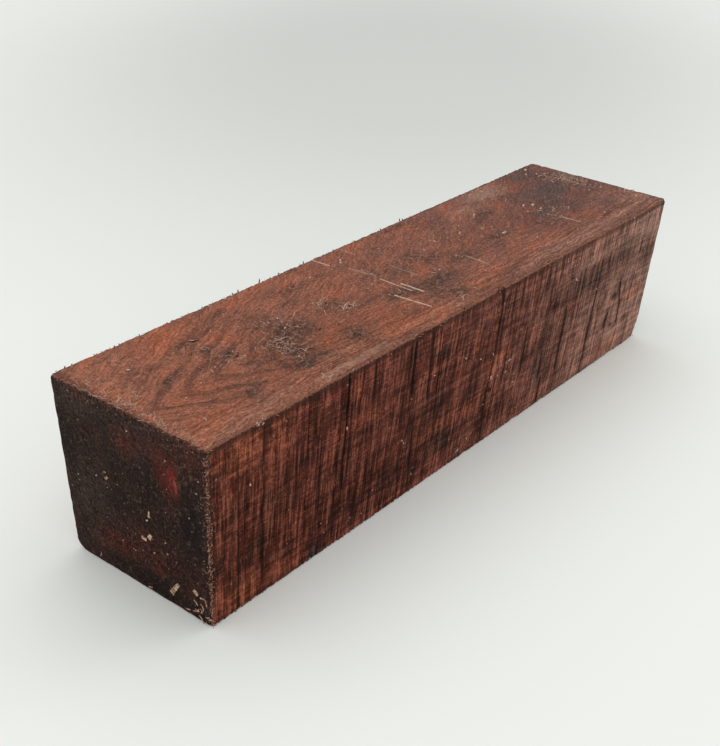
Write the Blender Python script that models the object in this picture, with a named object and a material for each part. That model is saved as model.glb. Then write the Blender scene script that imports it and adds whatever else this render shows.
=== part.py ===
"""A chechen rosewood turning blank: one rough-sawn block of wood lying on its underside.

Metres, +Z up. The block's length runs along X with the near end at -X, its sawn side faces -Y, and the
origin is the middle of its bounding box at the bottom.
"""

import bisect
import math
import random

import bmesh
import bpy
from mathutils import Vector, noise

# Driving dimensions: the nominal 3 x 3 x 12 inch blank
LENGTH = 0.305
WIDTH = 0.0735
HEIGHT = 0.076

# How far each rough cut strays from square, from one edge of its face to the other.
# A lean is over the height, a skew or a fall over the width, and a swing or a drop over the length.
NEAR_END_LEAN = 0.0031
NEAR_END_SKEW = 0.0033
FAR_END_LEAN = 0.0026
FAR_END_SKEW = -0.0009
SAWN_SIDE_LEAN = 0.0030
SAWN_SIDE_SWING = -0.0021
BACK_SIDE_LEAN = 0.0012
BACK_SIDE_SWING = 0.0014
TOP_FALL = 0.0009
TOP_DROP = 0.0007

# Worn arrises
ARRIS = 0.0008
CRUMBLE = 0.0009
CRUMB_SIZE = 0.0013

# Saw marks: a crest or a groove at each stroke of the blade, a little slanted
STROKE = 0.00152
STROKE_SPREAD = 0.3
STROKE_SLANT = 0.04
END_MARGIN = 0.0032
GROOVE_DEPTH = 0.00050
CREST_DEPTH = 0.00008
DEEP_LINES = (0.0485, 0.0685, 0.1085, 0.1480, 0.1630, 0.2200)
DEEP_LINE_DEPTH = 0.0011

# Slow waves of the faces, and the rough end grain round a flat middle
TOP_WAVE = 0.00022
END_ROUGHNESS = 0.00045
WAVE_SIZE = 0.011

# Cuts across the faces, as shares of the height and of the width
HEIGHT_CUTS = (0.04, 0.13, 0.33, 0.67, 0.87, 0.96)
WIDTH_CUTS = (0.05, 0.18, 0.36, 0.66, 0.86, 0.95)

# The wane on the lower back edge, deepest at the near end
WANE_ACROSS = 0.0085
WANE_UP = 0.0060
WANE_LENGTH = 0.060

# Knocked corners, as (far, back, top), and how far the break reaches along, across and up.
# A break that meets the underside goes straight in, so that the underside stays flat.
KNOCKED_CORNERS = (
    ((1, 0, 1), (0.0240, 0.0030, 0.0044)),
    ((1, 0, 1), (0.0040, 0.0050, 0.0040)),
    ((0, 1, 1), (0.0032, 0.0048, 0.0026)),
    ((1, 1, 1), (0.0024, 0.0028, 0.0022)),
    ((0, 0, 1), (0.0020, 0.0018, 0.0016)),
    ((1, 0, 0), (0.0036, 0.0070, 0.0120)),
    ((0, 0, 0), (0.0018, 0.0016, 0.0050)),
    ((1, 1, 0), (0.0050, 0.0040, 0.0090)),
)

# Bites out of the long edges, as shares of the block: where, how wide, and how far the wood went in
BITES = (
    ((0.165, 0.0, 0.0), 0.0045, (0.0, 0.0017, 0.0)),
    ((0.530, 0.0, 1.0), 0.0045, (0.0, 0.0014, -0.0013)),
    ((0.360, 0.0, 1.0), 0.0060, (0.0, 0.0008, -0.0006)),
    ((0.330, 1.0, 1.0), 0.0060, (0.0, -0.0010, -0.0007)),
    ((0.710, 1.0, 0.0), 0.0090, (0.0, -0.0018, 0.0)),
)

SEED = 27
ON_PLANE = 1e-6
COLLECTION = "turning_blank_parts"
NODE = "turning_blank"


def clear_scene():
    for obj in list(bpy.data.objects):
        bpy.data.objects.remove(obj, do_unlink=True)


def wood_material(name, colour, roughness):
    material = bpy.data.materials.new(name)
    material.use_nodes = True
    shader = material.node_tree.nodes["Principled BSDF"]
    shader.inputs["Base Color"].default_value = (*colour, 1.0)
    shader.inputs["Roughness"].default_value = roughness
    shader.inputs["Metallic"].default_value = 0.0
    material.diffuse_color = (*colour, 1.0)
    return material


def squared_block():
    """The block as if every cut were true, with its arrises taken off."""
    bm = bmesh.new()
    bmesh.ops.create_cube(bm, size=1.0)
    bmesh.ops.translate(bm, verts=bm.verts, vec=(0.5, 0.5, 0.5))
    bmesh.ops.scale(bm, verts=bm.verts, vec=(LENGTH, WIDTH, HEIGHT))
    bmesh.ops.bevel(bm, geom=bm.edges[:], offset=ARRIS, segments=1, affect="EDGES")
    return bm


def slice_by(bm, point, normal):
    everything = bm.verts[:] + bm.edges[:] + bm.faces[:]
    bmesh.ops.bisect_plane(bm, geom=everything, plane_co=point, plane_no=normal, dist=ON_PLANE)


def cut_wane(bm):
    """Takes off the lower back edge along a plane that runs out of the block after WANE_LENGTH."""
    on_underside = Vector((0.0, WIDTH - WANE_ACROSS, 0.0))
    on_back = Vector((0.0, WIDTH, WANE_UP))
    run_out = Vector((WANE_LENGTH, WIDTH, 0.0))
    normal = (on_back - on_underside).cross(run_out - on_underside).normalized()
    if normal.y < 0.0:
        normal.negate()
    everything = bm.verts[:] + bm.edges[:] + bm.faces[:]
    cut = bmesh.ops.bisect_plane(
        bm,
        geom=everything,
        dist=ON_PLANE,
        plane_co=on_underside,
        plane_no=normal,
        clear_outer=True,
    )
    rim = [part for part in cut["geom_cut"] if isinstance(part, bmesh.types.BMEdge)]
    bmesh.ops.contextual_create(bm, geom=rim)


def stroke_places(rng):
    """Where the saw's strokes cross the middle of the side, and how deep each one cut."""
    places = []
    depths = []
    x = END_MARGIN
    while x < LENGTH - END_MARGIN:
        groove = len(places) % 2 == 1
        depth = (GROOVE_DEPTH if groove else CREST_DEPTH) * rng.uniform(0.4, 1.5)
        if any(abs(x - line) < 0.6 * STROKE for line in DEEP_LINES):
            depth = DEEP_LINE_DEPTH
        places.append(x)
        depths.append(depth)
        x += STROKE * rng.uniform(1.0 - STROKE_SPREAD, 1.0 + STROKE_SPREAD)
    return places, depths


def across_strokes(point):
    """The place along the block, measured across the slanted saw marks."""
    return point.x - STROKE_SLANT * (point.z - HEIGHT / 2)


def cut_rows_and_strokes(bm, places):
    for share in HEIGHT_CUTS:
        slice_by(bm, (0.0, 0.0, share * HEIGHT), (0.0, 0.0, 1.0))
    for share in WIDTH_CUTS:
        slice_by(bm, (0.0, share * WIDTH, 0.0), (0.0, 1.0, 0.0))
    for x in places:
        slice_by(bm, (x, 0.0, HEIGHT / 2), (1.0, 0.0, -STROKE_SLANT))


def join_underside(bm):
    """Makes the underside one flat face, which the block rests on."""
    underside = [f for f in bm.faces if all(v.co.z < ON_PLANE for v in f.verts)]
    bmesh.ops.dissolve_faces(bm, faces=underside, use_verts=True)


def wave(point, depth, channel):
    """A slow unevenness from 0 to depth."""
    value = noise.noise(Vector((point.x, point.y, point.z)) / WAVE_SIZE + Vector((channel, 0.0, 0.0)))
    return depth * (0.5 + 0.5 * value)


def near_edge(share):
    """1 at either edge of a face and 0 inside it."""
    return 1.0 if min(share, 1.0 - share) < 0.02 else 0.0


def stroke_depth(point, places, depths, channel):
    index = bisect.bisect_left(places, across_strokes(point) - STROKE / 4)
    if index >= len(depths):
        return 0.0
    fading = 0.75 + 0.5 * noise.noise(Vector((point.x / WAVE_SIZE, point.z / WAVE_SIZE, channel)))
    return depths[index] * fading


def off_middle(y_share, z_share):
    """0 over the flat middle of an end, where a lathe centre presses, and 1 outside it."""
    inside_width = WIDTH_CUTS[2] - 0.01 < y_share < WIDTH_CUTS[3] + 0.01
    inside_height = HEIGHT_CUTS[2] - 0.01 < z_share < HEIGHT_CUTS[3] + 0.01
    return 0.0 if inside_width and inside_height else 1.0


def roughened(point, places, depths, back_depths):
    """The point moved in by what the saw and the wear took from its own face."""
    moved = point.copy()
    y_share = point.y / WIDTH
    z_share = point.z / HEIGHT
    crumbled = CRUMBLE * noise.cell(point / CRUMB_SIZE) ** 2
    if point.y < ON_PLANE:
        moved.y += stroke_depth(point, places, depths, 3.0) + near_edge(z_share) * crumbled
    elif point.y > WIDTH - ON_PLANE:
        moved.y -= stroke_depth(point, places, back_depths, 5.0) + near_edge(z_share) * crumbled
    elif point.z > HEIGHT - ON_PLANE:
        moved.z -= wave(point, TOP_WAVE, 7.0) + near_edge(y_share) * crumbled
    elif point.z < ON_PLANE:
        moved.y += near_edge(y_share) * crumbled * (1.0 if y_share < 0.5 else -1.0)
    elif point.x < ON_PLANE:
        moved.x += wave(point, END_ROUGHNESS, 9.0) * off_middle(y_share, z_share)
        moved.x += max(near_edge(y_share), near_edge(z_share)) * crumbled
    elif point.x > LENGTH - ON_PLANE:
        moved.x -= wave(point, END_ROUGHNESS, 11.0) * off_middle(y_share, z_share)
        moved.x -= max(near_edge(y_share), near_edge(z_share)) * crumbled
    for where, reach, push in BITES:
        middle = Vector((where[0] * LENGTH, where[1] * WIDTH, where[2] * HEIGHT))
        closeness = 1.0 - (point - middle).length / reach
        if closeness > 0.0:
            moved += Vector(push) * closeness * closeness * (3.0 - 2.0 * closeness)
    for corner, reach in KNOCKED_CORNERS:
        moved = knocked(moved, corner, reach)
    return moved


def knocked(point, corner, reach):
    """The point moved straight in to the plane that a break left, if it stood outside that plane."""
    sizes = (LENGTH, WIDTH, HEIGHT)
    inside = [size - value if at else value for value, at, size in zip(point, corner, sizes)]
    missing = 1.0 - sum(max(depth, 0.0) / far for depth, far in zip(inside, reach))
    if missing <= 0.0:
        return point
    inward = Vector([(-1.0 if at else 1.0) / far for at, far in zip(corner, reach)])
    if not corner[2]:
        inward.z = 0.0
    return point + inward * missing / inward.length_squared


def out_of_square(point):
    """Leans and swings the cut faces about their middles. The underside and both ends stay true planes."""
    u = point.x / LENGTH
    v = point.y / WIDTH
    w = point.z / HEIGHT
    z = point.z - w * (TOP_FALL * (v - 0.5) + TOP_DROP * (u - 0.5))
    y_low = -SAWN_SIDE_LEAN * (w - 0.5) + SAWN_SIDE_SWING * (u - 0.5)
    y_high = BACK_SIDE_LEAN * (w - 0.5) + BACK_SIDE_SWING * (u - 0.5)
    y = point.y + (1.0 - v) * y_low + v * y_high
    up = z / HEIGHT - 0.5
    across = y / WIDTH - 0.5
    x_low = -NEAR_END_LEAN * up - NEAR_END_SKEW * across
    x_high = FAR_END_LEAN * up + FAR_END_SKEW * across
    x = point.x + (1.0 - u) * x_low + u * x_high
    return Vector((x, y, z))


def settle(bm):
    """Puts the middle of the bounding box at the origin, with the underside at z = 0."""
    low = [min(v.co[axis] for v in bm.verts) for axis in range(3)]
    high = [max(v.co[axis] for v in bm.verts) for axis in range(3)]
    middle = ((low[0] + high[0]) / 2, (low[1] + high[1]) / 2, low[2])
    bmesh.ops.translate(bm, verts=bm.verts, vec=[-value for value in middle])


def mark_end_faces(bm):
    """Gives the waxed ends the second material."""
    for face in bm.faces:
        face.normal_update()
        face.material_index = 1 if abs(face.normal.x) > math.sin(math.radians(60)) else 0


def build_blank(collection):
    rng = random.Random(SEED)
    bm = squared_block()
    cut_wane(bm)
    places, depths = stroke_places(rng)
    back_depths = depths[:]
    rng.shuffle(back_depths)
    cut_rows_and_strokes(bm, places)
    join_underside(bm)
    for vert in bm.verts:
        vert.co = roughened(vert.co, places, depths, back_depths)
    for vert in bm.verts:
        vert.co = out_of_square(vert.co)
    settle(bm)
    bmesh.ops.recalc_face_normals(bm, faces=bm.faces)
    mark_end_faces(bm)
    mesh = bpy.data.meshes.new(NODE)
    bm.to_mesh(mesh)
    bm.free()
    blank = bpy.data.objects.new(NODE, mesh)
    collection.objects.link(blank)
    mesh.materials.append(wood_material("rough_sawn_rosewood", (0.16, 0.045, 0.026), 0.72))
    mesh.materials.append(wood_material("waxed_end_grain", (0.030, 0.014, 0.012), 0.45))
    return blank


def main():
    clear_scene()
    collection = bpy.data.collections.new(COLLECTION)
    bpy.context.scene.collection.children.link(collection)
    build_blank(collection)


main()
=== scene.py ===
"""The looks of a chechen rosewood turning blank: rough-sawn wood, dark waxed ends, loose fibres and wax.

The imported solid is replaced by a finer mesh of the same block. Places on the block are given in its own
millimetres: x from the near end, y from the sawn side and z from the underside, before it is out of square.
"""

import math
import random

import bmesh
import bpy
import numpy as np
from mathutils import Matrix, Quaternion, Vector, noise


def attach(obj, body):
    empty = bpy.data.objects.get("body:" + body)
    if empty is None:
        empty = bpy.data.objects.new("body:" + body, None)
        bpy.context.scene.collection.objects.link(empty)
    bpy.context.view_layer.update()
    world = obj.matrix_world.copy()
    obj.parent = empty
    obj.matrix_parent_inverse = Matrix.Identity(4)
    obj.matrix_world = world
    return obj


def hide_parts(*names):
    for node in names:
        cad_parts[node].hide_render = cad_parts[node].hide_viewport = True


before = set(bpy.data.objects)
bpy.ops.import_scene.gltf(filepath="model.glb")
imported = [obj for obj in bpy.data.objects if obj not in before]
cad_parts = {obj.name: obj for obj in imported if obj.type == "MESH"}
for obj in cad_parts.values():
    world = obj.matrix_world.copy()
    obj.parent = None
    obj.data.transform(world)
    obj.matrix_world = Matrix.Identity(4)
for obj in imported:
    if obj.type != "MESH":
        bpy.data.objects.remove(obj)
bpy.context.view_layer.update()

MM = 0.001

# The block as part.py drives it, and where its corner lies in the frame
LENGTH = 305.0
WIDTH = 73.5
HEIGHT = 76.0
SIZES = (LENGTH, WIDTH, HEIGHT)
CORNER = Vector((-151.9, -36.225, 0.0))

# How far each rough cut strays from square, from one edge of its face to the other, as in part.py
NEAR_END_LEAN = 3.1
NEAR_END_SKEW = 3.3
FAR_END_LEAN = 2.6
FAR_END_SKEW = -0.9
SAWN_SIDE_LEAN = 3.0
SAWN_SIDE_SWING = -2.1
BACK_SIDE_LEAN = 1.2
BACK_SIDE_SWING = 1.4
TOP_FALL = 0.9
TOP_DROP = 0.7

# The fine mesh: columns across the saw strokes, and rows that crowd towards the arrises
STROKES = 264
COLUMNS_A_STROKE = 2
FIRST_CUTS = 23
SECOND_CUTS = 21
ROWS_UP = 41
ROWS_ACROSS = 41
CROWDING = 0.7

# Relief of the faces
ARRIS = 0.6
GROOVE_DEPTH = 0.32
DEEP_LINES = (48.5, 68.5, 107.0, 163.5, 222.0)
DEEP_LINE_DEPTH = 0.6
TOP_WAVE = 0.25
SIDE_WAVE = 0.25
END_ROUGHNESS = 0.45
CRUMBLE = 0.5
CRUMBLE_REACH = 1.6
CRUMB_WIDTH = 0.9
WAXED_SHARE = 0.3
ARRIS_ZONE = 14.0
STROKE_CURVE = 5.0
CURVE_RISE = 110.0
CURVE_FADE = 12.0

# The wane on the lower back edge, deepest at the near end
WANE_ACROSS = 7.6
WANE_UP = 5.6
WANE_LENGTH = 70.0

# Knocked corners, as (far, back, top), and how far the break reaches along, across and up.
# None of them reaches further from its end than the zone
KNOCK_ZONE = 25.0
KNOCKED_CORNERS = (
    ((1, 0, 1), (14.0, 1.4, 2.0)),
    ((1, 0, 1), (1.6, 2.0, 1.6)),
    ((0, 1, 1), (1.8, 2.6, 1.6)),
    ((1, 1, 1), (2.4, 2.8, 2.2)),
    ((0, 0, 1), (2.0, 1.8, 1.6)),
    ((1, 0, 0), (3.6, 7.0, 12.0)),
    ((0, 0, 0), (1.8, 1.6, 5.0)),
    ((1, 1, 0), (5.0, 4.0, 9.0)),
)

# Bites out of the long edges: where, how wide, and how far the wood went in
BITES = (
    ((51, 0, 0), 3.5, (0, 0.5, 0)), ((161.6, 0, 76), 4.5, (0, 1.4, -1)),
    ((109.8, 0, 76), 6, (0, 0.8, -0.4)), ((216.5, 73.5, 0), 9, (0, -1.8, 0)),
)

# Camera: the photograph's viewing angle
CAMERA_PLACE = Vector((-0.34489, -0.25305, 0.27096))
CAMERA_TARGET = Vector((-0.01628, 0.01235, 0.02810))
CAMERA_ROLL = math.radians(2.3145)
LENS = 53.97

SEED = 27


def deselect_all():
    for obj in bpy.context.selected_objects:
        obj.select_set(False)


def rgb(paint):
    """A linear colour from the 8-bit numbers that a paint chart gives."""
    return tuple(linear(value / 255.0) for value in paint) + (1.0,)


def linear(value):
    return value / 12.92 if value <= 0.04045 else ((value + 0.055) / 1.055) ** 2.4


# Shape of the block


def saw_strokes(rng):
    """Where the mesh's columns stand along the block, and how deep the saw cut at each."""
    widths = [rng.uniform(0.65, 1.35) for _ in range(STROKES)]
    scale = LENGTH / sum(widths)
    places = [0.0]
    depths = [0.0]
    x = 0.0
    for width in widths:
        stroke = width * scale
        depth = GROOVE_DEPTH * rng.uniform(0.1, 1.0) ** 1.6
        if any(abs(x + stroke / 2 - line) < 0.6 * stroke for line in DEEP_LINES):
            depth = DEEP_LINE_DEPTH
        for share, cut in ((0.45, depth), (1.0, 0.0)):
            places.append(x + share * stroke)
            depths.append(cut)
        x += stroke
    return places, depths


def crowded(share):
    """A row's place, with rows closer together towards both edges."""
    return share - CROWDING * math.sin(2.0 * math.pi * share) / (2.0 * math.pi)


def swung(x, z):
    """Where a place or places along the block lie once the saw's strokes have swung back below the top."""
    reach = STROKE_CURVE * np.minimum(1.0, x / CURVE_RISE) * np.minimum(1.0, (LENGTH - x) / CURVE_FADE)
    return x - reach * np.maximum(0.0, 1.0 - z / HEIGHT) ** 1.6


def slow(point, size, channel):
    """A slow unevenness between 0 and 1."""
    return 0.5 + 0.5 * noise.noise(point / size + Vector((channel, 0.0, 0.0)))


def rounded(point):
    """The point drawn in to the worn arrises."""
    radius = ARRIS * (0.5 + slow(point, 7.0, 41.0))
    inner = Vector([min(max(value, radius), size - radius) for value, size in zip(point, SIZES)])
    out = point - inner
    if out.length < 1e-6:
        return point
    return inner + out * (radius / out.length)


def crumbled(point):
    """The point drawn in where the arris beside it has crumbled."""
    inside = sorted((min(value, size - value), axis) for axis, (value, size) in enumerate(zip(point, SIZES)))
    closeness = 1.0 - inside[1][0] / CRUMBLE_REACH
    if closeness <= 0.0:
        return point
    loss = CRUMBLE * closeness * noise.cell(point / CRUMB_WIDTH) ** 2 * (0.35 + slow(point, 9.0, 17.0))
    if min(point.x, LENGTH - point.x) < CRUMBLE_REACH and point.z < HEIGHT - CRUMBLE_REACH:
        loss *= WAXED_SHARE
    moved = point.copy()
    for _, axis in inside[:2]:
        moved[axis] += loss if point[axis] < SIZES[axis] / 2 else -loss
    return moved


def waned(point):
    """The point drawn in to the round wane along the lower back edge."""
    fade = 1.0 - point.x / WANE_LENGTH
    if fade <= 0.0:
        return point
    across = WANE_ACROSS * fade
    up = WANE_UP * fade
    inside_y = WIDTH - point.y
    if inside_y > across or point.z > up:
        return point
    ratio = math.hypot((across - inside_y) / across, (up - point.z) / up)
    if ratio <= 1.0:
        return point
    y = WIDTH - across + (across - inside_y) / ratio
    z = up - (up - point.z) / ratio
    return Vector((point.x, y, z))


def knocked(point, corner, reach):
    """The point moved straight in to the plane that a break left, if it stood outside that plane."""
    inside = [size - value if at else value for value, at, size in zip(point, corner, SIZES)]
    missing = 1.0 - sum(max(depth, 0.0) / far for depth, far in zip(inside, reach))
    if missing <= 0.0:
        return point
    inward = Vector([(-1.0 if at else 1.0) / far for at, far in zip(corner, reach)])
    if not corner[2]:
        inward.z = 0.0
    return point + inward * missing / inward.length_squared


def broken(point):
    """The point drawn in where a bite or a knock took wood off an arris or a corner."""
    for where, reach, push in BITES:
        if abs(point.x - where[0]) < reach:
            closeness = max(0.0, 1.0 - (point - Vector(where)).length / reach)
            point = point + Vector(push) * closeness * closeness * (3.0 - 2.0 * closeness)
    if KNOCK_ZONE < point.x < LENGTH - KNOCK_ZONE:
        return point
    for corner, reach in KNOCKED_CORNERS:
        point = knocked(point, corner, reach)
    return point


def arris_distance(point):
    """How far a point on a face is from the nearest arris."""
    return sorted(min(value, size - value) for value, size in zip(point, SIZES))[1]


def out_of_square(point):
    """Leans and swings the cut faces about their middles."""
    u = point.x / LENGTH
    v = point.y / WIDTH
    w = point.z / HEIGHT
    z = point.z - w * (TOP_FALL * (v - 0.5) + TOP_DROP * (u - 0.5))
    y_low = -SAWN_SIDE_LEAN * (w - 0.5) + SAWN_SIDE_SWING * (u - 0.5)
    y_high = BACK_SIDE_LEAN * (w - 0.5) + BACK_SIDE_SWING * (u - 0.5)
    y = point.y + (1.0 - v) * y_low + v * y_high
    up = z / HEIGHT - 0.5
    across = y / WIDTH - 0.5
    x_low = -NEAR_END_LEAN * up - NEAR_END_SKEW * across
    x_high = FAR_END_LEAN * up + FAR_END_SKEW * across
    x = point.x + (1.0 - u) * x_low + u * x_high
    return Vector((x, y, z))


def saw_depth(point, depth):
    """How deep a stroke cut here, as it runs up the side."""
    fading = 0.45 + 1.1 * slow(Vector((point.x * 0.8, 0.0, point.z * 0.5)), 7.0, 3.0)
    return depth * fading


def worn(point, depth):
    """A point of the true block moved to where the saw, the knocks and the lean of the cuts left it."""
    moved = point.copy()
    if point.y < 1e-4:
        moved.y += saw_depth(point, depth) + SIDE_WAVE * slow(point, 24.0, 5.0)
    elif point.y > WIDTH - 1e-4:
        moved.y -= saw_depth(point, depth) + SIDE_WAVE * slow(point, 24.0, 6.0)
    if point.z > HEIGHT - 1e-4:
        moved.z -= TOP_WAVE * slow(point, 6.0, 7.0)
    to_arris = arris_distance(point)
    crust = END_ROUGHNESS * min(1.0, 0.3 + to_arris / 6.0)
    if point.x < 1e-4:
        moved.x += crust * slow(point, 4.0, 9.0)
    elif point.x > LENGTH - 1e-4:
        moved.x -= crust * slow(point, 4.0, 11.0)
    near_arris = to_arris < ARRIS_ZONE
    if near_arris:
        moved = crumbled(rounded(moved))
    moved.x = swung(moved.x, moved.z)
    if near_arris:
        moved = broken(waned(moved))
    return (out_of_square(moved) + CORNER) * MM


def select_edges_along(mesh, axis):
    bm = bmesh.from_edit_mesh(mesh)
    for edge in bm.edges:
        direction = edge.verts[1].co - edge.verts[0].co
        edge.select_set(abs(direction[axis]) > 0.99 * direction.length)
    bmesh.update_edit_mesh(mesh)


def cut_rows(mesh, axis, cuts):
    bpy.ops.mesh.select_all(action="DESELECT")
    select_edges_along(mesh, axis)
    bpy.ops.mesh.subdivide(number_cuts=cuts)


def build_blank(rng):
    """The whole block, cut fine enough to carry every stroke of the saw."""
    deselect_all()
    bpy.ops.mesh.primitive_cube_add(size=1.0, location=(0.5, 0.5, 0.5))
    blank = bpy.context.object
    blank.name = "sawn_blank"
    bpy.ops.object.transform_apply(location=True, rotation=True, scale=True)
    mesh = blank.data
    bpy.ops.object.mode_set(mode="EDIT")
    bpy.ops.mesh.select_mode(type="EDGE")
    cut_rows(mesh, 0, FIRST_CUTS)
    cut_rows(mesh, 0, SECOND_CUTS)
    cut_rows(mesh, 1, ROWS_ACROSS)
    cut_rows(mesh, 2, ROWS_UP)
    bpy.ops.object.mode_set(mode="OBJECT")
    finish_faces(mesh)
    places, depths = saw_strokes(rng)
    trues = []
    moved = []
    cuts = []
    for vert in mesh.vertices:
        column = round(vert.co.x * STROKES * COLUMNS_A_STROKE)
        true = Vector((places[column], crowded(vert.co.y) * WIDTH, crowded(vert.co.z) * HEIGHT))
        trues.append(tuple(true))
        cuts.append(depths[column] / GROOVE_DEPTH)
        moved.append(tuple(worn(true, depths[column])))
    mesh.vertices.foreach_set("co", np.array(moved).ravel())
    mark_faces(mesh, np.array(trues), np.array(cuts))
    bpy.ops.object.shade_smooth_by_angle(angle=math.radians(50.0))
    return blank


FACES = (
    ("sawn_side_wood", (0, -1, 0)),
    ("top_face_wood", (0, 0, 1)),
    ("near_end_wax", (-1, 0, 0)),
    ("far_end_wax", (1, 0, 0)),
    ("back_side_wood", (0, 1, 0)),
    ("underside_wood", (0, 0, -1)),
)


def finish_faces(mesh):
    """Gives each side of the still square block its own material slot."""
    normals = np.zeros(len(mesh.polygons) * 3)
    mesh.polygons.foreach_get("normal", normals)
    outs = np.array([out for _, out in FACES], dtype=float)
    slots = np.argmax(normals.reshape(-1, 3) @ outs.T, axis=1)
    mesh.polygons.foreach_set("material_index", slots.astype(np.int32))


def covered(u, v, ovals):
    """How far these ovals cover each place, fading outwards."""
    cover = np.zeros(len(u))
    for middle_u, middle_v, reach_u, reach_v, strength in ovals:
        away = ((u - middle_u) / reach_u) ** 2 + ((v - middle_v) / reach_v) ** 2
        cover = np.maximum(cover, strength * np.exp(-0.8 * away))
    return cover


def drawn(u, v, runs):
    """How far these runs of straight lines, as (points, half width, strength), cover each place."""
    cover = np.zeros(len(u))
    for points, half_width, strength in runs:
        for (start_u, start_v), (end_u, end_v) in zip(points, points[1:]):
            run_u = end_u - start_u
            run_v = end_v - start_v
            share = ((u - start_u) * run_u + (v - start_v) * run_v) / (run_u ** 2 + run_v ** 2)
            share = np.clip(share, 0.0, 1.0)
            away = np.hypot(u - start_u - share * run_u, v - start_v - share * run_v)
            cover = np.maximum(cover, strength * np.exp(-((away / half_width) ** 2)))
    return cover


def mark_faces(mesh, places, cuts):
    """Stores where each face is stained, lined and toned, for the materials to read."""
    corners = np.zeros(len(mesh.loops), dtype=np.int32)
    mesh.loops.foreach_get("vertex_index", corners)
    slots = np.zeros(len(mesh.polygons), dtype=np.int32)
    mesh.polygons.foreach_get("material_index", slots)
    slots = np.repeat(slots, 4)
    stains = np.zeros((len(corners), 3))
    lines = np.zeros((len(corners), 3))
    tones = np.zeros((len(corners), 3))
    # The third channel of the lines holds how deep the saw cut, which the sawn sides turn into painted shade
    # in the grooves
    lines[:, 2] = cuts[corners]
    for slot, (name, _) in enumerate(FACES):
        here = slots == slot
        x, y, z = places[corners[here]].T
        u, v = {
            "sawn_side_wood": (swung(x, z), z),
            "top_face_wood": (x, y),
            "near_end_wax": (y, z),
            "far_end_wax": (WIDTH - y, z),
            "back_side_wood": (LENGTH - swung(x, z), HEIGHT - z),
            "underside_wood": (LENGTH - x, y),
        }[name]
        if name in ("sawn_side_wood", "back_side_wood"):
            stained, lined, toned = SIDE_STAINS, (SIDE_LINES, SIDE_LIGHT_LINES), SIDE_TONES
        elif name in ("top_face_wood", "underside_wood"):
            stained, lined, toned = TOP_MARKS, (TOP_BANDS,), TOP_TONES
        else:
            stained, lined, toned = END_MARKS, (), END_TONES
        for kind, ovals in enumerate(stained):
            stains[here, kind] = covered(u, v, ovals)
        for kind, runs in enumerate(lined):
            lines[here, kind] = drawn(u, v, runs)
        for kind, ovals in enumerate(toned):
            tones[here, kind] = covered(u, v, ovals)
    for name, values in (("stains", stains), ("lines", lines), ("tones", tones)):
        layer = mesh.attributes.new(name, "FLOAT_VECTOR", "CORNER")
        layer.data.foreach_set("vector", values.ravel())


# Marks on the top: dark bands of the grain, as (points, half width, strength)
TOP_BANDS = (
    (((40, 55), (50, 59), (60, 62), (74, 66)), 2.6, 0.9), (((38, 52), (44, 56)), 3.2, 0.7),
    (((72, 57), (80, 64), (84, 69), (88, 74)), 1, 0.7),
    (((60, 27), (55.5, 23), (54.5, 19), (57, 15), (61, 12), (68, 11)), 1.8, 1),
    (((99, 57), (108, 63)), 2.4, 0.8), (((8, 46), (18, 55)), 4, 0.55),
    (((88, 57), (100, 62), (112, 70)), 1.6, 0.4),
)

# Ovals on the top, as every oval here: the middle's two places, the reach both ways, the strength
TOP_STAINS = (
    (70, 33, 10, 6, 0.75), (58, 27, 6, 4, 0.6), (66, 25, 6, 8, 0.7), (63, 16, 7, 4, 0.75),
    (72, 15, 6, 3, 0.6), (57.5, 19, 2.4, 5, 0.6), (78, 37, 11, 5, 0.75), (84, 32, 7, 4, 0.6),
    (76, 46, 12, 5, 0.55), (50, 38.5, 4, 3, 0.65), (50, 27, 5, 3, 0.6), (45, 56, 6, 2.4, 0.7),
    (45, 49, 4, 6, 0.45), (24, 40, 6, 2.4, 0.6), (36, 15, 4, 2.4, 0.6), (92, 16, 5, 9, 0.55),
    (105, 60, 9, 3, 0.55), (73, 54, 10, 5, 0.4), (96, 52, 11, 4, 0.4), (104, 38, 12, 6, 0.45),
    (120, 31, 24, 1.8, 0.5), (150, 23, 19, 5, 0.7), (140, 17, 7, 5, 0.55), (133, 26, 12, 3.5, 0.65),
    (148, 11, 7, 5, 0.55), (162, 45, 8, 4, 0.65), (168, 38, 10, 4, 0.6), (150, 40, 12, 4, 0.45),
    (178, 29, 14, 4, 0.6), (205, 32, 18, 4, 0.5), (228, 50, 16, 2.4, 0.5), (196, 62, 18, 5, 0.45),
    (185, 70, 22, 3, 0.5), (243, 17, 9, 3, 0.4),
)

TOP_GREYS = (
    (276, 47, 24, 12, 0.9), (262, 37, 16, 8, 0.75), (246, 33, 11, 5, 0.85), (262, 27, 10, 6, 0.6),
    (298, 50, 6, 12, 0.8), (284, 66, 16, 7, 0.7), (206, 67, 10, 4, 0.4),
)

TOP_WARMS = (
    (5, 49, 5, 7, 0.9), (28, 62, 24, 8, 0.6), (57, 51, 8, 5, 0.9), (25, 46, 9, 6, 0.6),
    (14, 12, 20, 9, 0.7), (45, 66, 18, 5, 0.7), (61, 21.5, 3, 3, 0.7), (104, 24, 20, 5, 0.7),
    (160, 9, 10, 6, 0.8), (112, 8, 22, 6, 0.9), (122, 66, 10, 8, 0.5), (226, 14, 20, 8, 0.6),
    (168, 68, 8, 5, 0.6), (84, 25, 8, 3, 0.5), (292, 20, 7, 8, 0.5), (299, 68, 4, 6, 0.6),
    (233, 47, 14, 6, 0.4),
)

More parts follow.
